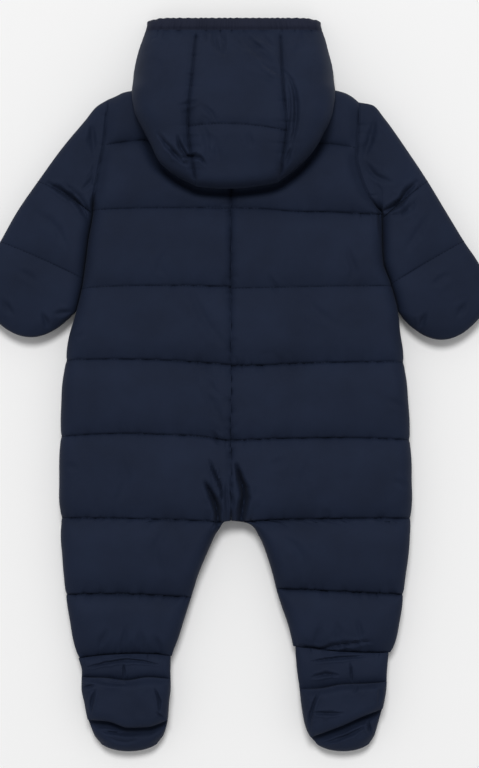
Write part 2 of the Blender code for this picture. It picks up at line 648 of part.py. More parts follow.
def hem_distance(x, y):
    """Distance in from the hood's outline, over its hem and both of its sides."""
    edge_y = np.concatenate([np.linspace(324.0, 190.0, 90), np.linspace(189.0, 181.8, 14)])
    left = np.stack([through(HOOD_SIDES[:, 0], HOOD_SIDES[:, 1], edge_y), edge_y], 1)
    right = np.stack([through(HOOD_SIDES[:, 0], HOOD_SIDES[:, 2], edge_y), edge_y], 1)
    u = np.linspace(0, 1, 40)
    seam_left = through(HOOD_SEAMS[:, 0], HOOD_SEAMS[:, 1], np.array(HOOD_HEM[0]))
    seam_right = through(HOOD_SEAMS[:, 0], HOOD_SEAMS[:, 2], np.array(HOOD_HEM[2]))
    hem = np.stack([seam_left + (seam_right - seam_left) * u, across(*HOOD_HEM, u)], 1)
    ends = np.linspace(0, 1, 12)[:, None]
    joins = [left[-1] * (1 - ends) + hem[0] * ends, right[-1] * (1 - ends) + hem[-1] * ends]
    outline = np.concatenate([left, right, hem, *joins])
    away = np.hypot(x[..., None] - outline[:, 0], y[..., None] - outline[:, 1])
    return away.min(axis=-1)


def build_hood_side(side):
    k = SIDES[side]
    sign = (-1, 1)[k]
    u = np.array(SIDE_PANEL_COLUMNS)[None, :]
    seam_y = HOOD_ROWS[:, :1]
    edge_y = HOOD_ROWS[:, 1:]
    if side == "right":
        seam_y = np.maximum(seam_y, 171.0) + 4.0 * np.clip((212.0 - seam_y) / 38.0, 0, 1)
        edge_y = edge_y + 5.4 * np.clip((222.0 - edge_y) / 40.0, 0, 1)
    seam_x = through(HOOD_SEAMS[:, 0], HOOD_SEAMS[:, 1 + k], seam_y) + sign * SEAM_GAP / 2
    edge_x = through(HOOD_SIDES[:, 0], HOOD_SIDES[:, 1 + k], edge_y)
    x = seam_x + (edge_x - seam_x) * u
    y = seam_y + (edge_y - seam_y) * u
    distance = hem_distance(x, y)
    distance[:, -1] = 0
    distance[-1, :] = 0
    return hood_wall("hood_" + side, x, y, distance, hood_seams(x, y), CLOTH)


def build_hood_centre():
    u = np.array(CENTRE_PANEL_COLUMNS)[None, :]
    upper = HOOD_ROWS[:9, 0]
    line_rows = np.array([8.0, 3.5, 0.0, -3.5, -8.0])
    low = across(*HOOD_HEM, u)
    stitch = across(*HOOD_LINE, u)
    rows = [np.full_like(u, value) for value in upper]
    rows += [stitch + offset for offset in line_rows]
    last = stitch - 8.0
    for t in (0.22, 0.44, 0.62, 0.76, 0.87, 0.94, 0.98, 1.0):
        rows.append(last * (1 - t) + low * t)
    y = np.concatenate(rows)
    left = through(HOOD_SEAMS[:, 0], HOOD_SEAMS[:, 1], y) + SEAM_GAP / 2
    right = through(HOOD_SEAMS[:, 0], HOOD_SEAMS[:, 2], y) - SEAM_GAP / 2
    x = left + (right - left) * u
    distance = hem_distance(x, y)
    distance[-1, :] = 0
    dips = hood_seams(x, y) + hood_line(x, y, left, right)
    return hood_wall("hood_centre", x, y, distance, dips, CLOTH)


def build_casing():
    """The gathered casing along the hood's free edge, arched over its mouth."""
    s = np.linspace(0, 1, 2 * CASING_GATHERS + 1)[None, :]
    s = s + 0.004 * np.sin(11.0 * s) * np.sin(math.pi * s)
    t = np.array(CASING_ROWS)[:, None]
    start = HOOD_MOUTH_Y + SEAM_GAP
    gather = np.cos(2 * math.pi * CASING_GATHERS * np.linspace(0, 1, s.shape[1]))[None, :]
    corner = CASING_CORNER * np.abs(2 * s - 1) ** 14
    width = CASING_WIDTH * (1 - corner) - 0.5 * GATHER_HEIGHT * (1 - gather) * t
    y = start + width * t - SEAM_GAP * t
    left = through(HOOD_SIDES[:, 0], HOOD_SIDES[:, 1], y)
    right = through(HOOD_SIDES[:, 0], HOOD_SIDES[:, 2], y)
    x = left + (right - left) * s
    end_distance = np.minimum(x - left, right - x)
    lip = roll((1 - t) * CASING_WIDTH, CASING_LIP_ROLL)
    height = hood_height(y, end_distance)
    inner = hood_height(y, end_distance - HOOD_TURN) - CASING_THICK
    inner = np.where(end_distance <= HOOD_TURN, 0.0, np.maximum(inner, 0.0))
    middle = 0.5 * (height + inner)
    ridge = GATHER_HEIGHT * gather * roll(end_distance, HOOD_RELIEF_ROLL)
    upper = middle + 0.5 * CASING_LIP
    lower = middle - 0.5 * CASING_LIP
    top = upper + (height - upper) * lip + ridge * (0.35 + 0.65 * lip)
    dip = HOOD_EDGE_DIP * np.exp(-((y - HOOD_MOUTH_Y) / 3.0) ** 2)
    top = top - dip * roll(end_distance, HOOD_TURN)
    under = np.maximum(0.0, lower - (lower - inner) * lip)
    under = np.where(end_distance <= HOOD_TURN, 0.0, under)
    top = np.maximum(top, under + 0.7 * CASING_LIP)
    return padded_wall("hood_casing", x, y, top, under, CASING_CLOTH)


def foot_plan(side, start, end, rows, bow):
    """Plan of a band or foot piece between two lines, given at stations or at every column."""
    k = SIDES[side]
    table = (FOOT_LEFT, FOOT_RIGHT)[k]
    u = np.array(FOOT_COLUMNS)[None, :]
    t = np.array(rows)[:, None]
    every_column = len(start) == len(FOOT_COLUMNS)
    first = start[None, :] if every_column else through(FOOT_STATIONS, start, u)
    last = through(FOOT_STATIONS, end, u) - bow * (4 * u * (1 - u)) ** 0.7
    y = first * (1 - t) + last * t
    inner = through(table[:, 0], table[:, 1], y)
    outer = through(table[:, 0], table[:, 2], y)
    x = inner + (outer - inner) * u
    away_end = np.abs(y - last)
    return x, y, u, t, np.abs(x - inner), np.abs(outer - x), away_end


def build_band(side):
    """The gathered ankle band: back and front of its tube share this rounded solid."""
    hem_x, hem_y, *_ = body_plan(side, BACK_COLUMNS, CHANNEL_ROWS, seam_offset)
    rails = (FOOT_LEFT, FOOT_RIGHT)[SIDES[side]][0, 1:]
    band_x = np.abs(rails[0] + (rails[1] - rails[0]) * np.array(FOOT_COLUMNS))
    start = np.interp(band_x, np.abs(hem_x[-1]), hem_y[-1]) - SEAM_GAP
    x, y, u, t, inner_distance, outer_distance, _ = foot_plan(
        side, start, np.array(BAND_LOW[side]) + SEAM_GAP, (0.0, 0.14, 0.4, 0.7, 0.9, 1.0), 0.0)
    arch = np.abs(2 * t - 1) ** 3
    gathers = BAND_GATHER_HEIGHT * np.cos(2 * math.pi * BAND_GATHERS * u)
    z = BAND_CROWN - 5.0 * BAND_GATHER_HEIGHT * arch + gathers
    low = MIDPLANE + RIM
    free = roll(inner_distance, FOOT_SIDE_ROLL) * roll(outer_distance, FOOT_SIDE_ROLL)
    z = low + (z - low) * free
    under = (MIDPLANE - RIM) * (1 - free)
    return padded_wall("ankle_band_" + side, x, y, z, under, CLOTH)


def build_toe(side):
    """The foot's front and toe, under the sole flap and round in front of it."""
    low_line = np.array(BAND_LOW[side])
    end = np.full(5, FOOT_LEFT[-1, 0])
    rows = (0.0, 0.12, 0.3, 0.48, 0.6, 0.68, 0.76, 0.84, 0.91, 0.96, 0.99, 1.0)
    x, y, u, _, inner_distance, outer_distance, end_distance = foot_plan(
        side, low_line, end, rows, TOE_BOW)
    edge = through(FOOT_STATIONS, SOLE_EDGE[side], u)
    beyond = 1 / (1 + np.exp((y - edge + TOE_STEP) / 1.1))
    crown = TOE_UNDER_SOLE + (TOE_CROWN - TOE_UNDER_SOLE) * beyond
    free = roll(inner_distance, FOOT_SIDE_ROLL) * roll(outer_distance, FOOT_SIDE_ROLL)
    free = free * roll(end_distance, SOLE_SIDE_ROLL)
    z = TOE_RIM + (crown - TOE_RIM) * free
    under = (TOE_RIM - RIM) * (1 - free)
    return padded_wall(f"foot_{side}_toe", x, y, z, under, CLOTH)


def build_sole(side):
    """The sole flap, lying on the toe piece, with its free edge across the foot."""
    low_line = np.array(BAND_LOW[side])
    edge = np.array(SOLE_EDGE[side])
    rows = (0.0, 0.08, 0.24, 0.45, 0.65, 0.82, 0.92, 0.98, 1.0)
    x, y, _, t, inner_distance, outer_distance, end_distance = foot_plan(
        side, low_line, edge, rows, 0.0)
    low = SOLE_UNDERSIDE + SOLE_SIDE_WALL
    crown = SOLE_CROWN - SOLE_BAND_DIP * np.exp(-(t / 0.12) ** 2)
    free = roll(inner_distance, SOLE_SIDE_ROLL) * roll(outer_distance, SOLE_SIDE_ROLL)
    top = low + (crown - low) * free
    lip = np.minimum(SOLE_UNDERSIDE + SOLE_LIP, top)
    top = lip + (top - lip) * roll(end_distance, SOLE_SIDE_ROLL)
    inside = roll(inner_distance, FOOT_SIDE_ROLL) * roll(outer_distance, FOOT_SIDE_ROLL)
    under = SOLE_UNDERSIDE + SOLE_LIP_TUCK * (1 - roll(end_distance, SOLE_LIP)) * inside
    return padded_wall(f"foot_{side}_sole", x, y, top, under, CLOTH)


def main():
    clear_scene()
    for side in SIDES:
        build_back(side)
        build_front(side)
        build_sleeve_back(side)
        build_sleeve_front(side)
        build_hood_side(side)
        build_band(side)
        build_toe(side)
        build_sole(side)
    build_hood_centre()
    build_casing()
    build_zip()


main()
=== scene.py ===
"""A padded baby snowsuit, laid flat on its front with its hood thrown back.

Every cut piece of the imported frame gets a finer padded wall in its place: quilted channels drawn
in along their stitch lines, creases along listed lines, gathers under the casing, and stitches.
Lengths are in millimetres until a mesh is made, and left is the wearer's left, at -X.
"""

import logging
import math
from collections.abc import Callable, Sequence
from dataclasses import dataclass
from enum import Enum

import bpy
import numpy as np
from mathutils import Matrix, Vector


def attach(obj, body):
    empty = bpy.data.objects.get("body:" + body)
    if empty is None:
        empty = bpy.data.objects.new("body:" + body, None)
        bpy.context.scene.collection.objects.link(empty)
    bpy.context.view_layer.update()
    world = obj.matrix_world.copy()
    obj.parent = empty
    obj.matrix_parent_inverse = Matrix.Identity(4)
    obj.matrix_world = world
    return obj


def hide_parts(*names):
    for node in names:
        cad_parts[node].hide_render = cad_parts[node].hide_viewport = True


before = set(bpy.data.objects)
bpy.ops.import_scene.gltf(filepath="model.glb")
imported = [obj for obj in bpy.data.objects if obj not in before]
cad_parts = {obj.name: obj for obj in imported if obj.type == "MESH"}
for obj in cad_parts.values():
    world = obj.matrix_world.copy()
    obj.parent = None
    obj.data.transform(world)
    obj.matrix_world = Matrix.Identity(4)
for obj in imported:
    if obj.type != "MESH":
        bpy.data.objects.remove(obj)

LOG = logging.getLogger("snowsuit")
MM = 0.001

Grid = np.ndarray


class Side(Enum):
    """One half of the suit, with the sign of its X."""

    LEFT = -1
    RIGHT = 1

    @property
    def word(self) -> str:
        """The side's name as it stands in node names and in tables."""
        return self.name.lower()

    @property
    def index(self) -> int:
        """The side's place where left comes first."""
        return (self.value + 1) // 2


# Curves and fields ---------------------------------------------------------------------------


def hermite(v: Grid, slope: Grid, k: Grid, h: Grid, t: Grid) -> Grid:
    """Read a cubic spline part of the way through one of its steps.

    Args:
        v: The values at the stations.
        slope: The slopes there.
        k: The step's number.
        h: Its length.
        t: How far through it, from 0 to 1.

    Returns:
        The spline's value.
    """
    return (
        v[k] * (1 + 2 * t) * (1 - t) ** 2
        + slope[k] * h * t * (1 - t) ** 2
        + v[k + 1] * t * t * (3 - 2 * t)
        + slope[k + 1] * h * t * t * (t - 1)
    )


class Table:
    """Sizes at stations: a row for each, in named columns of which the first is the station."""

    def __init__(self, columns: str, *rows: tuple[float, ...]) -> None:
        """Keep the columns' names, which one string lists, and the rows."""
        self.columns = columns.split()
        self.rows = np.array(rows, float)

    def __call__(self, column: str, at: Grid) -> Grid:
        """Read the curve through a column, held level beyond both ends."""
        return through(self.rows[:, 0], self.rows[:, self.columns.index(column)], at)


def through(stations: Grid, values: Grid, at: Grid) -> Grid:
    """Read a cubic curve through values, its slopes limited so that it never overshoots.

    Args:
        stations: Where the values stand, in rising or falling order.
        values: The values.
        at: Where to read the curve.

    Returns:
        Its value at each place, held level beyond both ends.
    """
    order = np.argsort(stations)
    s, v = np.asarray(stations, float)[order], np.asarray(values, float)[order]
    at = np.clip(at, s[0], s[-1])
    step = np.diff(s)
    rise = np.diff(v) / step
    slope = np.zeros_like(v)
    same = rise[:-1] * rise[1:] > 0
    total = np.where(same, rise[:-1] + rise[1:], 1.0)
    slope[1:-1] = np.where(same, 2 * rise[:-1] * rise[1:] / total, 0.0)
    slope[0], slope[-1] = rise[0], rise[-1]
    k = np.clip(np.searchsorted(s, at) - 1, 0, len(step) - 1)
    return hermite(v, slope, k, step[k], (at - s[k]) / step[k])


def across(low: Grid, middle: Grid, high: Grid, u: Grid) -> Grid:
    """The parabola that takes three values at u = 0, 0.5 and 1."""
    return low * (1 - u) * (1 - 2 * u) + 4 * middle * u * (1 - u) + high * u * (2 * u - 1)


def blend(first: Grid | float, second: Grid, share: Grid) -> Grid:
    """The first where the share is 0 and the second where it's 1."""
    return first + (second - first) * share


def smooth(t: Grid) -> Grid:
    """0 below 0 and 1 above 1, with an eased rise between."""
    t = np.clip(t, 0.0, 1.0)
    return t * t * (3 - 2 * t)


def bell(t: Grid) -> Grid:
    """1 at 0, falling on both sides to 1/e at 1."""
    return np.exp(-(t**2))


def roll(distance: Grid, radius: Grid | float, power: float = 2.0) -> Grid:
    """0 at an edge, rising as a quarter of a superellipse to 1 at the radius and beyond."""
    t = np.clip(np.asarray(distance, float) / radius, 0.0, 1.0)
    return np.maximum(0.0, 1 - (1 - t) ** power) ** (1 / power)


def spread(count: int, bunch: float = 0.6) -> Grid:
    """Places from 0 to 1, closer together towards both ends."""
    even = np.linspace(0, 1, count)
    return (1 - bunch) * even + bunch * (0.5 - 0.5 * np.cos(math.pi * even))


@dataclass(frozen=True)
class Wander:
    """Smooth seeded noise from -1 to 1 over the plane."""

    seed: int
    scale: float  # size of one lump

    def __call__(self, x: Grid, y: Grid) -> Grid:
        """Blend the values at a lattice's four nearest corners with a quintic ease.

        Args:
            x: Where to read the noise.
            y: The same, along the other axis.

        Returns:
            The noise at each place.
        """
        lattice = np.random.default_rng(self.seed).uniform(-1, 1, (61, 67))
        gx, gy = np.broadcast_arrays(x / self.scale + 400.0, y / self.scale + 400.0)
        ix, iy = np.floor(gx).astype(int), np.floor(gy).astype(int)
        ex, ey = (f**3 * (f * (6 * f - 15) + 10) for f in (gx - ix, gy - iy))
        a, b, c, d = (lattice[(ix + i) % 61, (iy + j) % 67] for j in (0, 1) for i in (0, 1))
        return (a * (1 - ex) + b * ex) * (1 - ey) + (c * (1 - ex) + d * ex) * ey


@dataclass(frozen=True)
class Crease:
    """A soft trough pressed into the cloth along a line, with a low ridge beside it."""

    depth: float  # how deep it is half way along
    width: float  # half its width
    ridge: float  # the ridge's height, as a share of the depth
    line: tuple[float, ...]  # x and y of each point along it

    def curve(self) -> Grid:
        """The line made smooth: a cubic through its points, read at even steps along it.

        Returns:
            A row of x and y for each step. A straight line keeps its two points.
        """
        given = np.array(self.line, float).reshape(-1, 2)
        if len(given) == 2:
            return given
        far = np.concatenate([[0.0], np.cumsum(np.hypot(*np.diff(given, axis=0).T))])
        at = np.linspace(0, far[-1], 6 * (len(given) - 1) + 1)
        k = np.clip(np.searchsorted(far, at) - 1, 0, len(far) - 2)
        h = (far[k + 1] - far[k])[:, None]
        t = (at[:, None] - far[k][:, None]) / h
        return hermite(given, np.gradient(given, far, axis=0), k, h, t)

    def height(self, x: Grid, y: Grid) -> Grid:
        """Minus a bell of the distance to the line, fading to both ends, plus the ridge.

        The bell narrows towards both ends, and its width wavers a little on the way.

        Args:
            x: Plan of the cloth.
            y: Plan of the cloth.

        Returns:
            The height that it adds to the cloth.
        """
        ends = self.curve()
        start, run = ends[:-1], np.diff(ends, axis=0)
        length = np.hypot(run[:, 0], run[:, 1])
        before = np.concatenate([[0.0], np.cumsum(length)])
        low, high = ends.min(0) - 5 * self.width, ends.max(0) + 5 * self.width
        near = (x > low[0]) & (x < high[0]) & (y > low[1]) & (y < high[1])
        result = np.zeros_like(x)
        if not near.any():
            return result
        dx, dy = x[near][:, None] - start[:, 0], y[near][:, None] - start[:, 1]
        t = np.clip((dx * run[:, 0] + dy * run[:, 1]) / length**2, 0, 1)
        away = np.hypot(dx - t * run[:, 0], dy - t * run[:, 1])
        k = away.argmin(axis=1)
        rows = np.arange(len(k))
        place = (before[k] + t[rows, k] * length[k]) / before[-1]
        fade = np.sin(math.pi * np.clip(place, 0.03, 0.97)) ** 0.6
        waver = 1 + 0.3 * Wander(301, 5.0)(x[near], y[near])
        d = away[rows, k] * waver / (self.width * (0.45 + 0.55 * fade))
        result[near] = self.depth * fade * (self.ridge * bell(d - 2.3) - bell(d))
        return result


@dataclass(frozen=True)
class Creases:
    """All the creases of one piece."""

    rows: tuple[tuple[float, ...], ...]  # depth, width, ridge, and x and y of each point

    def height(self, x: Grid, y: Grid) -> Grid:
        """The height that all creases together add to the cloth."""
        creases = (Crease(*row[:3], row[3:]) for row in self.rows)
        return sum(crease.height(x, y) for crease in creases)


def puckers(along: Grid, away: Grid, seed: int, pitch: float, reach: float) -> Grid:
    """Small pleats square to a stitch line, drawn up by its thread.

    Each pleat is a narrow valley where a noise that is stretched across the line passes through
    zero. It dies away from the line, sooner in some places than in others.

    Args:
        along: Distance along the line.
        away: Distance from the line.
        seed: Chooses the pattern.
        pitch: Usual distance between pleats.
        reach: Usual length of a pleat.

    Returns:
        A height from about -1 to 0.3.
    """
    wave = Wander(seed, pitch)(along, away / 3.0)
    uneven = 0.75 + 0.75 * Wander(seed + 1, 3.1 * pitch)(along, 0.0 * along)
    fade = np.exp(-away / (reach * uneven + 0.6))
    return fade * (0.35 * wave - bell(wave / 0.2))


# Meshes --------------------------------------------------------------------------------------


def mesh_object(
    name: str, points: Grid, faces: list, material: bpy.types.Material, sharp: float = 40.0
) -> bpy.types.Object:
    """A smooth object with its faces turned outwards.

    Args:
        name: The object's name.
        points: Its points, in millimetres.
        faces: The corners of each face.
        material: What it's made of.
        sharp: Angle in degrees past which an edge stays sharp.

    Returns:
        The object, in the scene.
    """
    mesh = bpy.data.meshes.new(name)
    mesh.from_pydata((points * MM).tolist(), [], faces)
    mesh.update()
    if signed_volume(mesh) < 0:
        mesh.flip_normals()
    mesh.shade_smooth()
    mesh.set_sharp_from_angle(angle=math.radians(sharp))
    mesh.materials.append(material)
    obj = bpy.data.objects.new(name, mesh)
    bpy.context.scene.collection.objects.link(obj)
    return obj


def signed_volume(mesh: bpy.types.Mesh) -> float:
    """Sum of the tetrahedra from the origin to every triangle: positive if faced outwards.

    Args:
        mesh: A closed mesh.

    Returns:
        Six times its volume, in cubic metres.
    """
    mesh.calc_loop_triangles()
    points = np.empty(len(mesh.vertices) * 3)
    mesh.vertices.foreach_get("co", points)
    corners = np.empty(len(mesh.loop_triangles) * 3, int)
    mesh.loop_triangles.foreach_get("vertices", corners)
    a, b, c = np.moveaxis(points.reshape(-1, 3)[corners.reshape(-1, 3)], 1, 0)
    return float(np.einsum("ij,ij->i", a, np.cross(b, c)).sum())


def tube_faces(rings: int, sides: int) -> Grid:
    """The quads between rings of points that follow one another.

    Args:
        rings: Number of rings.
        sides: Number of points in each.

    Returns:
        A row of four corners for each quad.
    """
    ring = np.arange(sides)
    following = np.roll(ring, -1)
    corners = np.stack([ring, following, following + sides, ring + sides], 1)
    return (corners[None] + sides * np.arange(rings - 1)[:, None, None]).reshape(-1, 4)


@dataclass(frozen=True)
class Wall:
    """A padded wall: a grid of outer points over an inner face."""

    name: str
    x: Grid
    y: Grid
    outer: Grid  # height of the outer face
    inner: Grid | float  # height of the inner face, or one height for a flat one
    round: bool = False  # whether the cloth goes all round, as on a tube

    @property
    def points(self) -> Grid:
        """The outer face's points."""
        return np.stack([self.x, self.y, self.outer], axis=-1)

    def seams(self, steps: Sequence[int]) -> list[Grid]:
        """The rows of points where one channel ends and the next begins."""
        return [self.points[r] for r in np.cumsum(steps)[:-1]]

    def build(self, material: bpy.types.Material) -> bpy.types.Object:
        """Make the closed mesh: the outer face, the inner one turned over, and a rim between.

        Args:
            material: What it's made of.

        Returns:
            The object.
        """
        rows, columns = self.x.shape
        index = np.arange(rows * columns).reshape(rows, columns)
        border = np.concatenate([index[0], index[1:, -1], index[-1, -2::-1], index[-2:0:-1, 0]])
        cells = (index[:-1, :-1], index[:-1, 1:], index[1:, 1:], index[1:, :-1])
        quads = np.stack(cells, axis=-1).reshape(-1, 4)
        outer = self.points.reshape(-1, 3)
        faces = quads.tolist()
        if np.ndim(self.inner) == 0:
            turned = np.column_stack([outer[border, :2], np.full(len(border), self.inner)])
            low = index.size + np.arange(len(border))
            faces.append(low[::-1].tolist())
        else:
            turned = np.stack([self.x, self.y, self.inner], axis=-1).reshape(-1, 3)
            low = border + index.size
            faces += (quads[:, ::-1] + index.size).tolist()
        faces += np.stack([border, low, np.roll(low, -1), np.roll(border, -1)], axis=-1).tolist()
        return mesh_object(self.name, np.concatenate([outer, turned]), faces, material, 58.0)


def dress(obj: bpy.types.Object, node_name: str) -> bpy.types.Object:
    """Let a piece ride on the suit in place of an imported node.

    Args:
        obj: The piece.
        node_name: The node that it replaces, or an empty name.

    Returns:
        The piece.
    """
    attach(obj, "root")
    if node_name:
        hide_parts(node_name)
    return obj


def lay(
    wall: Wall, cloth: bpy.types.Material
) -> bpy.types.Object:
    """Args:
        wall: The wall, named for its node with _cloth after it.
        cloth: What it's made of.

    Returns:
        The object.
    """
    node_name = wall.name.removesuffix("_cloth")
    obj = dress(wall.build(cloth), node_name)
    return obj


# Finishes ------------------------------------------------------------------------------------


def linear(code: str) -> tuple[float, ...]:
    """A colour written as sRGB hex, as the linear colour that a shader takes."""
    parts = (int(code[i : i + 2], 16) / 255 for i in (1, 3, 5))
    return *(c / 12.92 if c <= 0.04045 else ((c + 0.055) / 1.055) ** 2.4 for c in parts), 1.0


def feed(target: bpy.types.Node, inputs: dict) -> bpy.types.Node:
    """Set or link a node's inputs.

    Args:
        target: The node.
        inputs: A value or another node's output for each input's name or number.

    Returns:
        The node.
    """
    for key, value in inputs.items():
        if isinstance(value, bpy.types.NodeSocket):
            target.id_data.links.new(value, target.inputs[key])
        else:
            target.inputs[key].default_value = value
    return target


def node(tree: bpy.types.NodeTree, kind: str, inputs: dict, **settings: str) -> bpy.types.Node:
    """Add a shader node of a kind with its inputs and its own settings.

    Args:
        tree: The material's node tree.
        kind: The node's type, without the words that all shader nodes start with.
        inputs: As feed takes them.
        **settings: Properties of the node itself.

    Returns:
        The new node.
    """
    made = tree.nodes.new("ShaderNode" + kind)
    for key, value in settings.items():
        setattr(made, key, value)
    return feed(made, inputs)


def principled(name: str, inputs: dict) -> tuple[bpy.types.Material, bpy.types.Node]:
    """Start a material, and feed its Principled shader.

    Args:
        name: The material's name.
        inputs: As feed takes them.

    Returns:
        The material and its shader.
    """
    made = bpy.data.materials.new(name)
    made.use_nodes = True
    return made, feed(made.node_tree.nodes["Principled BSDF"], inputs)


@dataclass(frozen=True)
class WovenPolyamide:
    """Matt woven polyamide, the suit's shell: a close plain weave that scatters light softly."""

    name: str
    deep: str  # sRGB hex where the cloth lies in its darker patches
    light: str  # sRGB hex in its lighter patches
    thread: float = 0.45  # distance between threads, coarser than in a real weave so it shows
    grain: float = 1.1  # size of the finest mottling
    patch: float = 38.0  # size of a darker or lighter patch
    roughness: float = 0.78
    sheen: float = 0.04  # the soft light that the fibre ends give at a grazing angle
    gloss: float = 0.14  # the mirror-like share, low because the weave breaks it up
    slub: float = 0.05  # how much single threads stand out of the weave

    def material(self) -> bpy.types.Material:
        """Colour wanders slowly over the cloth; two crossed waves make the weave's bump.

        Returns:
            The material.
        """
        made, shader = principled(self.name, {
            "Roughness": self.roughness, "Specular IOR Level": self.gloss,
            "Sheen Weight": self.sheen, "Sheen Roughness": 0.45, "Sheen Tint": linear("#8f9bb8"),
        })
        tree = made.node_tree
        place = node(tree, "TexCoord", {}).outputs["Object"]
        patch, grain = (
            node(tree, "TexNoise", {"Vector": place, "Scale": 1 / (size * MM), "Detail": detail,
                                    "Roughness": rough}).outputs["Fac"]
            for size, detail, rough in ((self.patch, 3.0, 0.55), (self.grain, 2.0, 0.6))
        )
        warp, weft = (
            node(tree, "TexWave", {"Vector": place, "Scale": 2 * math.pi / (20 * self.thread * MM),
                                   "Distortion": 0.3, "Detail": 1.0}, bands_direction=way)
            for way in "XY"
        )
        shade = node(tree, "Math", {0: grain, 1: 0.35, 2: patch}, operation="MULTIPLY_ADD")
        ramp = node(tree, "MapRange", {0: shade.outputs[0], "From Min": 0.42, "From Max": 0.93})
        ends = {0: ramp.outputs[0], 6: linear(self.deep), 7: linear(self.light)}
        colour = node(tree, "Mix", ends, data_type="RGBA")
        weave = node(tree, "Math", {0: warp.outputs["Fac"], 1: weft.outputs["Fac"]},
                     operation="MULTIPLY")
        slubbed = node(tree, "Math", {0: grain, 1: 1.6, 2: weave.outputs[0]},
                       operation="MULTIPLY_ADD")
        bump = node(tree, "Bump", {"Strength": 0.35, "Distance": self.slub * MM,
                                   "Height": slubbed.outputs[0]})
        feed(shader, {"Base Color": colour.outputs[2], "Normal": bump.outputs["Normal"]})
        return made


@dataclass(frozen=True)
class SpunThread:
    """Spun polyester sewing thread: two twisted plies, a little glossier than the cloth."""

    name: str
    colour: str
    roughness: float = 0.8
    gloss: float = 0.08
    twist: float = 0.5  # distance between turns of the plies

    def material(self) -> bpy.types.Material:
        """A slanted wave gives the twist of the plies.

        Returns:
            The material.
        """
        made, shader = principled(self.name, {
            "Base Color": linear(self.colour), "Roughness": self.roughness,
            "Specular IOR Level": self.gloss,
        })
        tree = made.node_tree
        place = node(tree, "TexCoord", {}).outputs["Object"]
        scale = 2 * math.pi / (20 * self.twist * MM)
        plies = node(tree, "TexWave", {"Vector": place, "Scale": scale, "Distortion": 0.0},
                     bands_direction="DIAGONAL")
        bump = node(tree, "Bump", {"Strength": 0.2, "Distance": 0.03 * MM,
                                   "Height": plies.outputs["Fac"]})
        feed(shader, {"Normal": bump.outputs["Normal"]})
        return made


@dataclass(frozen=True)
class MouldedNylon:
    """Moulded nylon of the zip's teeth and slider: dark, smooth and faintly mottled."""

    name: str
    colour: str
    mottle: float = 0.8  # size of the mottling

    def material(self) -> bpy.types.Material:
        """Its gloss is finely mottled, and its colour is even.

        Returns:
            The material.
        """
        made, shader = principled(self.name, {"Base Color": linear(self.colour)})
        tree = made.node_tree
        place = node(tree, "TexCoord", {}).outputs["Object"]
        noise = node(tree, "TexNoise", {"Vector": place, "Scale": 1 / (self.mottle * MM)})
        gloss = node(tree, "MapRange", {0: noise.outputs["Fac"], "To Min": 0.3, "To Max": 0.45})
        feed(shader, {"Roughness": gloss.outputs[0]})
        return made


# Sizes ---------------------------------------------------------------------------------------

SEAM_GAP = 0.06  # between pieces that are sewn together
MIDPLANE = 15.0  # where backs lie on fronts
RIM = 1.85  # thickness of a wall where it is turned in at a seam
CENTRE_X = -3.5
ZIP_HALF = 4.2  # half the width of the zip's tape
ZIP_END = -100.5
BODY = Table(
    "y inner_left outer_left inner_right outer_right",
    (253.8, -3.5, -111.4, -3.5, 109.7),
    (229.9, -3.5, -114.1, -3.5, 109),
    (209.6, -3.5, -116.3, -3.5, 107.7),
    (199, -3.5, -118.5, -3.5, 107.2),
    (184.8, -3.5, -121.2, -3.5, 110.5),
    (170.7, -3.5, -123.4, -3.5, 115.9),
    (156.5, -3.5, -125.3, -3.5, 125.1),
    (151.2, -3.5, -125.8, -3.5, 130),
    (126.5, -3.5, -130, -3.5, 130.4),
    (108.8, -3.5, -132.2, -3.5, 131.3),
    (89.3, -3.5, -134.9, -3.5, 138),
    (64.6, -3.5, -140.6, -3.5, 144.4),
    (43.3, -3.5, -146.8, -3.5, 147),
    (29.2, -3.5, -149.5, -3.5, 149.6),
    (8, -3.5, -152.1, -3.5, 151.5),
    (-13.3, -3.5, -153.9, -3.5, 153.3),
    (-34.5, -3.5, -154.8, -3.5, 155.1),
    (-62.8, -3.5, -155.8, -3.5, 156.2),
    (-98.2, -3.5, -155.8, -3.5, 156.8),
    (-120.4, -3.5, -155, -3.5, 156.2),
    (-121.2, -8.4, -154.9, 4.4, 156.1),
    (-122.4, -10.6, -154.8, 10.2, 156),
    (-124.4, -12, -154.7, 14.2, 155.9),
    (-127.4, -13.6, -154.6, 17.4, 155.8),
    (-133.5, -17.6, -154.3, 20.8, 155.3),
    (-140.6, -20.8, -153.9, 24.4, 154.8),
    (-154.8, -27, -153, 29.4, 153.3),
    (-168.9, -32.7, -152.1, 33.6, 151.6),
    (-183.1, -37.1, -151, 37.1, 150.2),
    (-197.2, -41.5, -148.6, 41.6, 148),
    (-211.4, -46, -145.9, 46.6, 145.3),
    (-225.5, -50.4, -143.5, 50.2, 142.7),
    (-236.1, -54.6, -141.2, 52.2, 139.4),
    (-243.2, -56.6, -139, 53.4, 136.8),
)
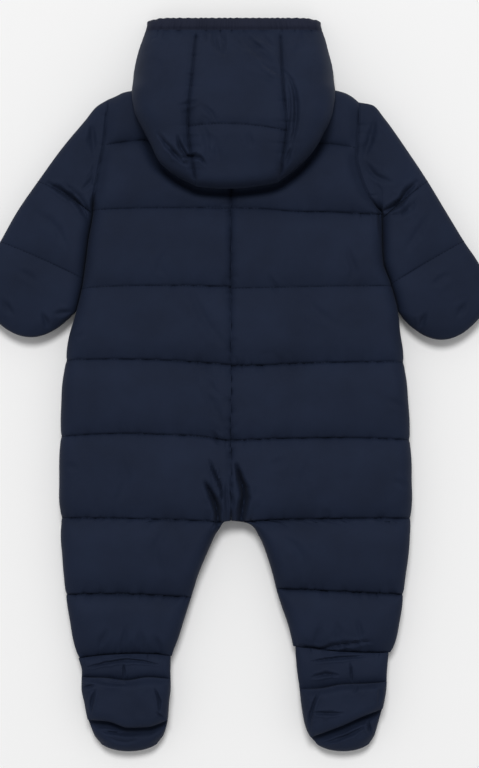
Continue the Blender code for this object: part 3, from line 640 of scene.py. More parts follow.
# The stitch lines' heights at the inner edge, half way and at the side: left, then right.
QUILT_LINES = np.array([
    (221, 217.5, 210.8, 221, 216, 208.6),
    (154.8, 155.6, 153.8, 155.9, 152.3, 149.9),
    (85.6, 87.4, 85, 84.4, 86, 87.4),
    (16.8, 21.7, 21.3, 16, 18.9, 19.9),
    (-49.5, -43.5, -46.1, -50.3, -47.2, -48.9),
    (-122, -118.5, -117.7, -121.6, -118.5, -118.1),
    (-188.4, -185.4, -185.7, -180.4, -183, -185.9),
    (-240.1, -238.4, -242.3, -231.3, -236.6, -237),
])
SHOULDER = Table(
    "place left right",
    (0, 253.8, 253.8),
    (0.45, 253.8, 253.8),
    (0.62, 256.6, 256.6),
    (0.8, 260, 260.4),
    (0.88, 258.5, 258.5),
    (0.94, 255.4, 255.2),
    (1, 252.6, 249.8),
)
# How hard each line's thread draws the cloth at the inner edge and the side: left, then right.
LINE_PULL = np.array([
    (0, 0, 0, 0),
    (0.8, 0.9, 0.9, 0.7),
    (1, 0.3, 0.5, 1.6),
    (1.3, 0.2, 0.3, 0.4),
    (1.8, 0.6, 2, 0.8),
    (1.8, 1, 1.6, 1.3),
    (1.4, 1.4, 2.9, 1.7),
    (2.2, 1.9, 2.4, 2.6),
    (1.5, 1.5, 1.5, 1.5),
])
BODY_HEIGHT = Table(
    "y crown inner_edge inner_roll",
    (253.8, 34, 31, 8),
    (200, 36.6, 31, 8),
    (60, 37, 31, 8),
    (-60, 36.6, 31, 8),
    (-104, 36, 31, 9),
    (-121, 35, 21, 12),
    (-135, 34.5, 17.2, 14),
    (-185, 32, 16.9, 15),
    (-222, 29, 16.9, 14),
    (-243.2, 24.5, 16.9, 12),
)
SLEEVES = np.array([
    # step, outer_x outer_y inner_x inner_y bow: left, then right, and crown
    (0, -111.4, 252.6, -125.6, 156.5, 0, 109.7, 249.8, 130.3, 151.2, 0, 29),
    (0.08, -122.4, 246, -125.9, 155.6, 0.4, 121.6, 247.4, 130.7, 150.5, 0.4, 30),
    (0.17, -132.3, 234, -125.9, 155, 1, 131.9, 236, 130.4, 149.8, 1, 31),
    (0.34, -153, 209.2, -126, 153.4, 2.4, 151.6, 208.4, 130.4, 148.6, 2, 31.5),
    (0.5, -174.5, 179.6, -126.2, 150.6, 2.5, 170.5, 180, 130.4, 146.8, 0.5, 31.5),
    (0.61, -192.6, 153.3, -130.7, 122, 1.8, 186.8, 153, 131.2, 117, 1, 31.5),
    (0.72, -207.8, 126.4, -134.4, 93.5, 1, 202.6, 127, 138.3, 89, 0.5, 30.5),
    (0.82, -218.3, 107, -137.2, 79, -3, 217.4, 104, 142, 75.2, -3, 29.5),
    (0.92, -225.5, 84, -140.4, 67, -10, 225.5, 80, 144.3, 66.4, -10, 27.5),
    (1, -217.5, 62.8, -145.4, 60, -19.5, 218, 60.6, 148.6, 58.6, -20, 25),
])
SLEEVE_LINES = np.array([0, 0.5, 0.72, 1])  # the stitch lines' steps
SLEEVE_PULL = np.array([(0, 0), (0.4, 2.2), (0.2, 0.5), (0, 0)])  # outer, inner
HOOD_SEAMS = Table(
    "y left right",
    (324.6, -33.4, 40),
    (313.3, -33.9, 40.1),
    (295.7, -35.4, 40.5),
    (270, -37.3, 41.5),
    (242.8, -40, 43.6),
    (225, -40.7, 45.4),
    (211.6, -40, 43.8),
    (196.7, -37.3, 41.6),
    (187.5, -35.8, 40.7),
    (172, -33.4, 36.4),
)
HOOD_SIDES = Table(
    "y left right",
    (319, -78.3, 76.4),
    (313.3, -79.9, 78),
    (305.1, -82.6, 80.6),
    (298, -85.1, 82.4),
    (291, -87, 84.2),
    (283.9, -88.6, 86),
    (273.3, -90.2, 87.6),
    (259.1, -90.8, 88.2),
    (240.1, -88.2, 86),
    (231, -84.6, 83.4),
    (219.8, -78.7, 77.6),
    (211, -74.2, 73),
    (195.4, -66.4, 60.8),
    (187.6, -58.2, 52),
    (181.8, -50.1, 44.2),
)
HOOD_HEIGHT = Table(
    "y crown side_roll",
    (324.6, 22, 14),
    (313.2, 25, 16),
    (300, 36, 19),
    (285, 48, 22),
    (268, 59, 25),
    (250, 67, 25),
    (228, 71, 22),
    (205, 70, 18),
    (190, 68, 13),
    (172, 66, 9),
)
HOOD_LIFT = Table(
    "y share_of_the_way_up",
    (243, 1),
    (250, 0.915),
    (255, 0.79),
    (259, 0.64),
    (262, 0.43),
    (266, 0.14),
    (270, 0),
)
HOOD_ROWS = Table(
    "row seam_y edge_y",
    (0, 313.2, 313.2),
    (1, 311, 311),
    (2, 305, 305),
    (3, 297, 297),
    (4, 287, 287),
    (5, 276.5, 276.5),
    (6, 267, 267),
    (7, 258.5, 258.5),
    (8, 251.5, 251.5),
    (9, 243, 243),
    (10, 236, 235),
    (11, 231.5, 228),
    (12, 227, 221.5),
    (13, 220, 214),
    (14, 211, 206.5),
    (15, 202, 199.5),
    (16, 193, 193),
    (17, 185.5, 188.6),
    (18, 179.5, 185.4),
    (19, 176, 183.4),
    (20, 174.3, 182.3),
    (21, 173.7, 181.8),
)
HOOD_LINE = (224.4, 226.2, 220.4)  # its stitch line: left seam, half way, right seam
HOOD_HEM = (173.5, 171.9, 177.4)  # the same for its hem
FEET = {
    Side.LEFT: Table(
        "y inner outer",
        (-243, -57, -138.4),
        (-253.8, -57.2, -135.6),
        (-268, -57, -135.8),
        (-282.1, -58.4, -133.2),
        (-294.5, -59.3, -130.8),
        (-303.3, -60.9, -127.8),
        (-311, -63.6, -124.6),
        (-317.5, -68.4, -119.4),
    ),
    Side.RIGHT: Table(
        "y inner outer",
        (-238.5, 53.6, 136),
        (-253.8, 55, 134.6),
        (-268, 57, 134),
        (-282.1, 58.5, 131.8),
        (-294.5, 60.4, 128.4),
        (-303.3, 62.5, 126),
        (-311, 66.2, 123.6),
        (-317.5, 71.6, 119.6),
    ),
}
FOOT_LINES = Table(
    "place band_left sole_left band_right sole_right",
    (0, -260.4, -296.4, -269.4, -311.6),
    (0.25, -258.6, -302.4, -268.2, -307),
    (0.5, -261.2, -303, -264.8, -301.4),
    (0.75, -259, -297.4, -264.2, -293.6),
    (1, -258.8, -296, -263, -286),
)
ARMHOLE_HEIGHT = 30.4
UNDERARM_Y = {Side.LEFT: 156.5, Side.RIGHT: 151.2}
UNDERARM_GAP = 0.04  # more than a seam's gap, where a sleeve lies along the side unsewn
# In each row: depth, half the width, the ridge's share, and then x and y of each point.
BODY_CREASES = Creases((
    (4, 1.2, 0.5, -22.8, -66, -17, -80.6, -12.9, -90, -11.6, -101),
    (15, 2.3, 0.1, -26, -87, -20.4, -97, -16.6, -108, -14.4, -126),
    (18, 3.1, 0.08, 1.6, -72, 5, -84, 8.2, -95, 7.2, -108, 4, -128),
    (1.4, 1.2, 0.6, -7.4, -86, -7.2, -100, -6.6, -118),
    (1.2, 1.6, 0.3, 3.2, -120, 4, -98),
    (3, 1.5, 0.3, 127.4, 160, 127.8, 146, 128.4, 130),
    (1.6, 2, 0.6, -20, -42, -13, -53),
    (1, 2.4, 0.6, 30, -72, 46, -66),
    (1.2, 2.4, 0.6, -28, 6, -14, -10),
    (1.4, 3.5, 0.3, -40, 86, -29, 62, -14, 40, -6, 33),
    (1.4, 3.5, 0.3, -34, 12, -20, -18, -8, -40),
    (1.3, 2.1, 0.3, 30, 96, 37, 80),
    (1.1, 3.5, 0.3, 58, 84, 70, 66, 90, 52),
    (1.3, 2.8, 0.3, 98, 120, 104, 100, 101, 90),
    (1, 2.8, 0.3, -60, 94, -66, 104, -60, 118),
    (1.1, 3.8, 0.3, -100, -64, -96, -84, -104, -104),
    (1, 3.8, 0.3, 70, -60, 60, -84, 64, -106),
    (1.3, 3.8, 0.3, -60, -126, -70, -146, -66, -166),
    (1.3, 3.8, 0.3, 40, -132, 58, -150, 62, -170),
    (1.6, 2.1, 0.3, -120, -232, -112, -216),
    (1.4, 2.1, 0.3, -100, -234, -96, -214),
    (1.5, 2.8, 0.3, -82, -234, -84, -218),
    (1.5, 2.8, 0.3, -66, -236, -72, -222),
    (4.4, 1.8, 0.3, 58.4, -231, 74.3, -234.4, 87.6, -230.8, 100.8, -229, 121.2, -226.6),
    (1.6, 2.8, 0.3, 70, -232, 76, -212),
    (1.4, 2.8, 0.3, 92, -230, 90, -210),
    (1.5, 2.1, 0.3, 112, -226, 108, -208),
    (1.4, 2.1, 0.3, -146, 40, -132, 44),
    (1.4, 2.2, 0.3, -152, -70, -138, -74),
    (1.4, 2.2, 0.3, 150, -20, 134, -14),
    (1.4, 2.2, 0.3, 152, -90, 138, -84),
))
SLEEVE_CREASES = Creases((
    (4.8, 2.2, 0.3, -164.5, 177.3, -152.1, 170.2, -139.7, 161.4, -128.2, 143.7),
    (2.1, 2, 0.3, -150, 176, -138, 166, -128, 152),
    (5.2, 2.2, 0.3, 128.2, 151.7, 144.1, 159.6, 151.2, 169.4, 160.1, 178.2),
    (2.1, 2.2, 0.3, 136, 148, 150, 152, 162, 164),
    (2.4, 2.5, 0.3, -126.5, 229.5, -124.7, 205.6),
    (2.1, 2.2, 0.3, -121, 196, -126, 180, -134, 172),
    (2.8, 2.5, 0.3, 123.8, 233, 119.4, 218, 114.1, 201.2),
    (2.3, 2.2, 0.3, 114, 196, 124, 184, 138, 178),
    (2.5, 2, 0.3, -169.8, 62.3, -164.5, 50),
    (2.4, 2, 0.3, -158.3, 62.3, -144.1, 64.1),
    (1.8, 2.5, 0.3, -206, 74, -196, 62),
    (2.4, 2.2, 0.3, 168, 62, 163, 50),
    (1.8, 2.5, 0.3, 196, 60, 204, 72),
    (1.6, 3, 0.3, -176, 152, -160, 140, -148, 122),
    (1.6, 3, 0.3, 172, 150, 160, 132, 150, 118),
    (1.3, 2.7, 0.3, -190, 100, -176, 92),
    (1.3, 2.7, 0.3, 190, 98, 174, 88),
))
HOOD_CREASES = Creases((
    (3.6, 2, 0.15, 42.6, 274, 47.6, 266.8, 51.6, 256, 53, 242, 52.4, 224, 49, 208),
    (1.6, 1.2, 0.5, 45.2, 262, 47.4, 250, 47.6, 236, 46.6, 222),
    (2.2, 3, 0.5, 3, 309, 13, 298, 25, 287, 34, 277, 41, 269),
    (1.3, 2.6, 0.5, 10, 271, 20, 268, 31, 265, 40, 260),
    (2.2, 1.6, 0.3, 24, 281, 33, 274.5, 40, 270),
    (3.2, 1.8, 0.4, -67, 217.6, -59, 208, -52, 201, -44, 196.4),
    (4.2, 1.7, 0.3, -50, 214.9, -46, 204, -41, 198.6, -34, 197.4),
    (3, 1.5, 0.3, -56, 204, -49, 196.2, -42, 190.9),
    (3.6, 1.5, 0.4, -47, 196.4, -38, 198.4, -30, 196.6, -25.6, 191),
    (1.7, 2.4, 0.3, -29, 226, -24, 212, -23.6, 199),
    (1.2, 2.5, 0.3, -19, 216, -16, 206, -14, 194),
    (1.5, 1.9, 0.3, -29, 243, -21, 236, -17, 228.6),
    (1.5, 1.5, 0.5, -50, 242, -41, 244, -31, 246.6),
    (0.9, 1.3, 0.5, -46, 236, -40, 237, -35, 239.6),
    (1.2, 2.2, 0.3, 12, 220, 14, 206),
    (2.4, 1.8, 0.3, 50, 206, 46.4, 199, 44, 190),
    (1.4, 4.3, 0.3, -75, 292, -64, 272, -60, 248),
    (1.4, 4.3, 0.3, 74, 290, 68, 262),
    (1.5, 2.9, 0.3, 62, 303, 54, 292, 50, 281),
    (1.9, 2.2, 0.5, -19, 312, -17.6, 301, -13, 289),
    (1.6, 1.8, 0.6, -11, 312, -9.4, 299, -11, 284),
    (2.2, 1.7, 0.5, 9, 311, 14, 303, 22, 296, 28, 292),
    (1.9, 1.6, 0.3, -27, 310, -25, 299),
    (1.6, 1.6, 0.3, 0, 310, 2.4, 302, 8, 294),
    (1.5, 1.6, 0.3, 24, 310, 29, 302, 35, 296),
    (1.4, 1.9, 0.3, -62, 309, -60, 300),
    (1.4, 1.9, 0.3, 58, 309, 56, 299),
))
FOOT_CREASES = Creases((
    (2.9, 1.1, 0.3, -130, -249.8, -110.5, -245.4, -95.5, -243.6, -82.2, -244.5, -68.1, -247.2),
    (2.7, 1.1, 0.3, 67.2, -244.5, 88.4, -241.9, 100.8, -241, 115, -240.1),
    (2.2, 1, 0.3, -98.2, -246.3, -98.2, -260.3),
    (2.2, 1, 0.3, 101.7, -245.4, 103.5, -262.3),
    (2.7, 1.3, 0.3, 68.1, -258.7, 79.6, -256, 91.1, -256.9),
    (3.1, 1.4, 0.3, -133.5, -267.5, -123.8, -264.9),
    (1.9, 1.4, 0.3, -120, -262, -108, -263.5, -96, -264.5),
    (2.9, 1.3, 0.3, -122.9, -269.3, -125.6, -277.2, -126.5, -289.2),
    (2.9, 1.3, 0.3, -70.7, -268.2, -67.2, -277.2, -66.3, -288.3),
    (2.4, 1.1, 0.3, -69, -288.7, -62.8, -294.9),
    (3.1, 1.3, 0.3, 73.4, -270.9, 69, -282.5, 66.3, -292.5, 66.4, -304.4),
    (2, 1.3, 0.3, 127.5, -266, 127.5, -274, 126.5, -282),
    (2.5, 1.3, 0.3, 68.1, -288.7, 81.4, -289.6, 94.6, -289.6),
    (1.7, 1.2, 0.3, 108, -266, 104, -272),
    (3.4, 1.4, 0.3, -117.6, -306, -103.5, -308, -84, -308),
    (3.4, 1.4, 0.3, 75.2, -318, 86.7, -314.7, 99, -310.3, 115.8, -301.5),
    (3.1, 1.3, 0.3, 117.6, -296.7, 119.4, -308.4),
    (1.4, 1.7, 0.3, -110, -313, -98, -316, -86, -314),
))


# The suit ------------------------------------------------------------------------------------


@dataclass(frozen=True)
class Stitching:
    """Rows of lock stitches sunk in the cloth."""

    thread: bpy.types.Material
    pitch: float = 2.9  # distance from one stitch to the next
    length: float = 2.2  # of the thread that shows
    radius: float = 0.26
    sink: float = 0.2  # how far a stitch's ends go into the cloth
    sides: int = 5
    rings: tuple[float, ...] = (0.0, 0.25, 0.75, 1.0)  # places along a stitch
    bulge: tuple[float, ...] = (0.35, 1.0, 1.0, 0.35)  # thickness there

    def build(self, name: str, paths: Sequence[Grid]) -> bpy.types.Object:
        """Lay one slim bead for each stitch along every path, evenly spaced by length.

        Args:
            name: The joined object's name.
            paths: Points along each line of stitches, on the cloth.

        Returns:
            One object that holds every stitch.
        """
        a, b = (np.concatenate(ends) for ends in zip(*map(self.ends, paths)))
        along = (b - a) / np.linalg.norm(b - a, axis=1)[:, None]
        up = np.array([0.0, 0.0, 1.0]) - along * along[:, 2:3]
        up = (up / np.linalg.norm(up, axis=1)[:, None])[:, None]
        over = np.cross(along, up[:, 0])[:, None]
        rings, bulge = np.array(self.rings), np.array(self.bulge)
        angle = (2 * math.pi * np.arange(self.sides) / self.sides)[None, :, None]
        lift = self.radius * (2 * bulge - 1) - self.sink * (1 - bulge)
        centre = a[:, None] + (b - a)[:, None] * rings[None, :, None] + up * lift[None, :, None]
        wheel = (np.cos(angle) * over + np.sin(angle) * up)[:, None]
        points = centre[:, :, None] + self.radius * bulge[None, :, None, None] * wheel
        block = len(rings) * self.sides
        offset = block * np.arange(len(a))[:, None, None]
        caps = np.array([range(self.sides), range(block - 1, block - 1 - self.sides, -1)])
        faces = (tube_faces(len(rings), self.sides)[None] + offset).reshape(-1, 4).tolist()
        faces += (caps[None] + offset).reshape(-1, self.sides).tolist()
        return dress(mesh_object(name, points.reshape(-1, 3), faces, self.thread), "")

    def ends(self, path: Grid) -> tuple[Grid, Grid]:
        """Space the stitches of one path.

        Args:
            path: Points along it.

        Returns:
            The first point of every stitch, and the last.
        """
        run = np.concatenate([[0], np.cumsum(np.linalg.norm(np.diff(path, axis=0), axis=1))])
        at = np.arange(2.0, run[-1] - self.length - 1.5, self.pitch)
        first, last = (
            np.stack([np.interp(d, run, path[:, c]) for c in range(3)], 1)
            for d in (at, at + self.length)
        )
        return first, last


@dataclass(frozen=True)
class Plan:
    """A quilted piece seen from above, and where each point lies in its channel."""

    x: Grid
    y: Grid
    t: Grid  # place across the channel, 0 on its upper stitch line and 1 on the lower
    to_line: Grid  # distance to the nearer stitch line
    inner: Grid  # distance in from the inner edge, along the row
    outer: Grid  # the same from the outer edge
    number: Grid  # the channel's number, growing by one at each stitch line
    pull: Grid  # how hard the nearer stitch line's thread is drawn


def row_lengths(x: Grid, y: Grid) -> tuple[Grid, Grid]:
    """Distances along every row of a grid, from its first point and from its last."""
    run = np.cumsum(np.hypot(*(np.diff(f, axis=1, prepend=f[:, :1]) for f in (x, y))), axis=1)
    return run, run[:, -1:] - run


def channel_rows(counts: Sequence[int]) -> tuple[Grid, Grid]:
    """Row places of quilted channels, each with its own number of steps.

    Args:
        counts: The number of steps in each channel.

    Returns:
        The channel's index and the place within it for every row. A stitch line that two
        channels share is one row.
    """
    index = np.concatenate([np.full(n, k) for k, n in enumerate(counts)] + [[len(counts) - 1]])
    place = np.concatenate([spread(n + 1, 0.72)[:-1] for n in counts] + [[1.0]])
    return index.astype(int)[:, None], place[:, None]


def pull_at(table: Grid, index: Grid, t: Grid, u: Grid) -> Grid:
    """How hard the nearer line's thread is drawn, blended from the first edge to the second."""
    nearer = index + (t > 0.5)
    return table[nearer, 0] * (1 - u) + table[nearer, 1] * u


@dataclass(frozen=True)
class Quilting:
    """How a quilted cloth swells between its stitch lines and draws in along them."""

    depth: float  # crown of a channel above its stitch lines
    seed: int
    power: float = 3.2  # how flat the crown is
    groove: float = 0.9  # extra depth of the stitch line itself
    pucker: float = 1.15  # height of the pleats that the thread draws up
    pitch: float = 7.0  # usual distance between those pleats
    reach: float = 4.2  # their usual length
    swell: float = 0.7  # height of the slow rise and fall of the wadding

    def height(self, plan: Plan) -> Grid:
        """The cloth's height between and along its stitch lines.

        Args:
            plan: Where each point lies in its channel.

        Returns:
            How far it lies above the piece's own crown, or below it where negative.
        """
        full = 1 - np.abs(2 * plan.t - 1) ** self.power
        channel = plan.number * 137.0
        along = plan.inner + channel + np.where(plan.t < 0.5, 0.0, 183.0)
        valley = self.depth * (full - 1) * (0.7 + 0.3 * plan.pull)
        line = -self.groove * plan.pull * bell(plan.to_line / 0.9)
        pleats = puckers(along, plan.to_line, self.seed, self.pitch, self.reach)
        offset = channel * 0.7
        slow = Wander(self.seed + 7, 46.0)(plan.x + offset, plan.y)
        medium = Wander(self.seed + 8, 19.0)(plan.x, plan.y + offset)
        fine = Wander(self.seed + 9, 6.0)(plan.x + offset, plan.y)
        wadding = full * self.swell * (slow + 0.3 * medium) + 0.04 * fine
        return valley + line + self.pucker * plan.pull * pleats + wadding


@dataclass(frozen=True)
class Body:
    """Half of the body with its leg: a quilted back over a plainer front that lies on the floor."""

    side: Side
    cloth: bpy.types.Material
    stitching: Stitching
    steps: tuple[int, ...] = (16, 34, 40, 40, 40, 40, 40, 34)  # rows of points in each channel
    outline: Table = BODY
    shoulder: Table = SHOULDER
    heights: Table = BODY_HEIGHT
    creases: Creases = BODY_CREASES
    low: float = MIDPLANE + RIM  # the back's edge where it is turned in
    least: float = MIDPLANE + 0.6  # lowest that the back's outer face may come
    lift: float = MIDPLANE - RIM  # the front's edge where it is turned in
    side_roll: float = 15.0
    hem_roll: float = 13.0
    front_roll: float = 12.0
    hood_crevice: float = 9.5  # how far the cloth is pressed down beside the hood
    zip_half: float = ZIP_HALF  # half the width that the fronts leave for the zip
    zip_end: float = ZIP_END

    def build(self) -> list[bpy.types.Object]:
        """Build and dress the front, the back over it and the back's stitches.

        Returns:
            The three objects.
        """
        back = self.back()
        return [
            lay(self.front(), self.cloth),
            lay(back, self.cloth),
            self.stitching.build(f"back_{self.side.word}_stitches", back.seams(self.steps)),
        ]

    def plan(self, columns: int, steps: Sequence[int], offset: Callable[[Grid], Grid]) -> Plan:
        """Rows follow the stitch lines, and columns run from the inner edge to the side.

        Args:
            columns: Number of points in a row.
            steps: Number of rows in each channel.
            offset: Distance of the inner edge from the centre line, at a height.

        Returns:
            The plan, drawn in a little at the side where a stitch line ends.
        """
        k, sign, word = self.side.index, self.side.value, self.side.word
        u = spread(columns)[None, :]
        index, t = channel_rows(steps)

        # Each line is a parabola that wavers a little.
        low, middle, high = QUILT_LINES.T[3 * k : 3 * k + 3, :, None]
        uneven = 0.45 * Wander(80 + k, 0.22)(u, 0.9 * np.arange(8.0)[:, None])
        lines = np.concatenate([self.shoulder(word, u), across(low, middle, high, u) + uneven])
        upper, below = lines[index[:, 0]], lines[index[:, 0] + 1]
        y = (1 - t) * upper + t * below
        inner = self.outline("inner_" + word, y) + sign * offset(y)
        to_line = np.minimum(t, 1 - t) * (upper - below)

        # Below the mitt the side is drawn in where a stitch line meets it.
        drawn = 1.3 * np.abs(2 * t - 1) ** 3 + 0.5 * bell(to_line / 2.0)
        drawn = drawn - 0.3 * Wander(90 + k, 17.0)(y, 0 * y)
        below_mitt = np.clip((62.0 - y) / 10.0, 0, 1)
        outer = self.outline("outer_" + word, y) - sign * below_mitt * drawn
        x = blend(inner, outer, u)
        return Plan(
            x, y, t + 0 * x, to_line, np.abs(x - inner), np.abs(outer - x), index + 0 * x,
            pull_at(LINE_PULL[:, 2 * k :], index, t, u),
        )

    def back(self) -> Wall:
        """The quilted back, dished along its seams and rolled over at its free edges.

        Returns:
            The back.
        """
        k, low = self.side.index, self.low
        plan = self.plan(112, self.steps, lambda y: np.full_like(y, SEAM_GAP / 2))
        x, y = plan.x, plan.y
        z = self.heights("crown", y) + Quilting(depth=5.6, seed=20 + k).height(plan)
        z = z + self.creases.height(x, y)
        beside_hood = hood_distance(x, np.minimum(y, 250.0))
        z = z - self.hood_crevice * smooth((240.0 - y) / 46.0) * bell((beside_hood - 1.0) / 5.0)

        # The centre seam, and the free inseam of the leg below it.
        drawn = 0.75 + 0.45 * Wander(33, 30.0)(0 * y, y)
        dip = 3.0 * bell(plan.inner / 3.8) + 1.4 * bell(plan.inner / 1.2)
        sewn = z - drawn * dip + 2.1 * puckers(y + 900.0 * k, plan.inner, 31 + k, 5.2, 3.6)
        edge, radius = self.heights("inner_edge", y), self.heights("inner_roll", y)
        small = 0.7 * puckers(y + 33.0, plan.inner, 36 + k, 11.0, 6.0)
        free = blend(edge, z + small, roll(plan.inner, radius, 2.2))
        z = blend(free, sewn, smooth((y + 121.0) / 17.0))

        # The seam of the armhole, and the free side below it.
        dip = (z - ARMHOLE_HEIGHT) * bell(plan.outer / 7.0)
        dip = dip + 1.6 * bell(plan.outer / 1.4)
        sewn = z - dip + 1.0 * puckers(y + 50.0, plan.outer, 46 + k, 8.0, 4.5)
        small = 0.7 * puckers(y + 77.0, plan.outer, 41 + k, 12.0, 5.0)
        free = blend(low, z + small, roll(plan.outer, self.side_roll, 2.3))
        z = blend(free, sewn, smooth((y - UNDERARM_Y[self.side] + 4.0) / 18.0))

        # The hem over the ankle, drawn in unevenly.
        hem = -1.4 * np.abs(Wander(51 + k, 7.5)(x, 0 * x))
        ankle = QUILT_LINES[-1, 3 * k + 1]
        z = z + hem * np.exp(-np.maximum(y - ankle, 0) / 9.0) * roll(plan.outer, 8.0)
        z = np.maximum(blend(low, z, roll(y[:1] - y, self.hem_roll, 2.3)), self.least)
        return Wall(f"back_{self.side.word}_cloth", x, y, z, MIDPLANE + SEAM_GAP / 2)

    def beside_zip(self, y: Grid) -> Grid:
        """Half the seam's gap below the zip, and room for the zip beside it."""
        opened = np.clip((y - self.zip_end + 7.0) / 5.0, 0.0, 1.0)
        return SEAM_GAP / 2 + opened * (self.zip_half + SEAM_GAP / 2)

    def front(self) -> Wall:
        """The front: flat on the floor, drawn up at stitch lines and free edges.

        Returns:
            The front.
        """
        plan = self.plan(72, tuple(n // 2 for n in self.steps), self.beside_zip)
        lift, radius = self.lift, self.front_roll
        side = lift * (1 - roll(plan.outer, radius)) * np.clip((165.0 - plan.y) / 12.0, 0, 1)
        inseam = lift * (1 - roll(plan.inner, radius)) * np.clip((-112.0 - plan.y) / 10.0, 0, 1)
        shoulder = lift * (1 - roll(plan.y[:1] - plan.y, radius))
        z = np.maximum(np.maximum(side, inseam), shoulder)
        grooves = 2.6 * np.abs(2 * plan.t - 1) ** 6 * (1 - z / lift)
        seed = 61 + self.side.index
        small = 0.5 * np.abs(puckers(plan.inner + 300.0, plan.to_line, seed, 9.0, 4.0))
        z = np.minimum(z + grooves + small, lift)
        return Wall(f"front_{self.side.word}_cloth", plan.x, plan.y, z, MIDPLANE - SEAM_GAP / 2)


@dataclass(frozen=True)
class Sleeve:
    """A sleeve with its closed mitt: a quilted back half over a front half on the floor."""

    body: Body  # the half of the body that it's sewn to
    steps: tuple[int, ...] = (52, 36, 52)  # rows of points in each channel
    front_steps: tuple[int, ...] = (18, 14, 22)
    creases: Creases = SLEEVE_CREASES
    edge_roll: float = 15.0
    tip_roll: float = 16.0
    underarm_roll: float = 13.0
    front_roll: float = 12.0

    def build(self) -> list[bpy.types.Object]:
        """Build and dress the front half, the back half over it and its stitches.

        Returns:
            The three objects.
        """
        body, name = self.body, f"sleeve_{self.body.side.word}"
        back = self.back()
        return [
            lay(self.front(), body.cloth),
            lay(back, body.cloth),
            body.stitching.build(name + "_stitches", back.seams(self.steps)),
        ]

    def plan(
        self, columns: int, steps: Sequence[int], body_steps: Sequence[int]
    ) -> tuple[Plan, Grid, Grid, Grid]:
        """Rows run over the sleeve from its outer edge to the underarm, and bow.

        Args:
            columns: Number of points in a row.
            steps: Number of rows in each channel.
            body_steps: Number of rows in each channel of the body that it's sewn to.

        Returns:
            The plan, the crown's height, and the distances from the armhole and from the tip.
        """
        side = self.body.side
        k, sign = side.index, side.value

        # The armhole is the body's own edge, with a little more room at the underarm's corner.
        hole = self.body.plan(2, body_steps, lambda y: 0 * y)
        rows = body_steps[0] + body_steps[1] + 1
        hole_y = hole.y[:rows, -1]
        corner = 0.1 * bell((hole_y - UNDERARM_Y[side] - 1.5) / 2.0)
        hole_x = hole.x[:rows, -1] + sign * (SEAM_GAP + corner)

        # Rows run between the two rails, bowed.
        u = spread(columns)[None, :]
        index, t = channel_rows(steps)
        s = SLEEVE_LINES[index] * (1 - t) + SLEEVE_LINES[index + 1] * t
        rails = SLEEVES[:, [0, *range(5 * k + 1, 5 * k + 6), -1]]
        rails[0, 1:5] = hole_x[0], hole_y[0], hole_x[-1], hole_y[-1]
        ox, oy, ix, iy, bow, crown = (through(rails[:, 0], rails[:, c], s) for c in range(1, 7))
        bowed = sign * bow * 4 * u * (1 - u) / np.hypot(ix - ox, iy - oy)
        x = ox + (ix - ox) * u + (iy - oy) * bowed
        y = oy + (iy - oy) * u + (ox - ix) * bowed

        # The first rows follow the armhole, and the rest stay clear of the body's side, which
        # the mitt's end touches.
        x = x + (np.interp(-y[:1], -hole_y, hole_x) - x[:1]) * np.clip(1 - s / 0.15, 0, 1)
        clear = self.body.outline("outer_" + side.word, y)
        clear = clear + sign * (SEAM_GAP + UNDERARM_GAP * (s > 0))
        beside = (s > 0) & (y < hole_y[-1] + 2.0)
        x = np.where(beside, sign * np.maximum(sign * x, sign * clear), x)
        apart = np.clip(sign * (x - clear)[:, -1:], 0, 4) * smooth((y[:, -1:] - 61.0) / 5.0)
        x = x - sign * apart * (s > 0) * smooth((u - 0.75) / 0.25)

        # The first channel is about 100 wide, and the others about 62.
        outer, inner = row_lengths(x, y)
        run, rest = (along.T for along in row_lengths(x.T, y.T))
        to_line = np.minimum(t, 1 - t) * np.where(index == 0, 100.0, 62.0)
        pull = pull_at(SLEEVE_PULL, index, t, u)
        plan = Plan(x, y, t + 0 * x, to_line + 0 * x, outer, inner, index + 0 * x, pull)
        return plan, crown, run, rest

    def back(self) -> Wall:
        """The quilted upper half, its last channel closed round the mitt.

        Returns:
            The upper half.
        """
        side, low = self.body.side, self.body.low
        k = side.index
        plan, crown, run, rest = self.plan(96, self.steps, self.body.steps)
        x, y = plan.x, plan.y
        quilting = Quilting(depth=3.2, seed=120 + k, groove=0.8, pucker=0.7, swell=0.9)
        z = crown + quilting.height(plan) + self.creases.height(x, y)
        seam = smooth((y[:1] - UNDERARM_Y[side] + 4.0) / 18.0)
        armhole = blend(low, ARMHOLE_HEIGHT, seam)
        dip = (z - armhole) * bell(run / 6.0) + 1.6 * bell(run / 1.4)
        z = z - dip + 1.2 * puckers(y, run, 133 + k, 9.0, 7.0) * smooth(plan.outer / 12.0)
        along = rest * 0.4 + plan.inner * 0.3
        small = 0.6 * puckers(along, np.minimum(plan.inner, rest), 141, 9.0, 4.5)
        free = roll(plan.inner, self.edge_roll, 2.3) * roll(rest, self.tip_roll, 2.3)
        underarm = plan.outer + 14.0 * (1 - smooth(run / 12.0)) * seam
        z = blend(low, blend(low, z + small, free), roll(underarm, self.underarm_roll, 2.3))
        z = np.maximum(z, self.body.least)
        return Wall(f"sleeve_{side.word}_back_cloth", x, y, z, MIDPLANE + SEAM_GAP / 2)

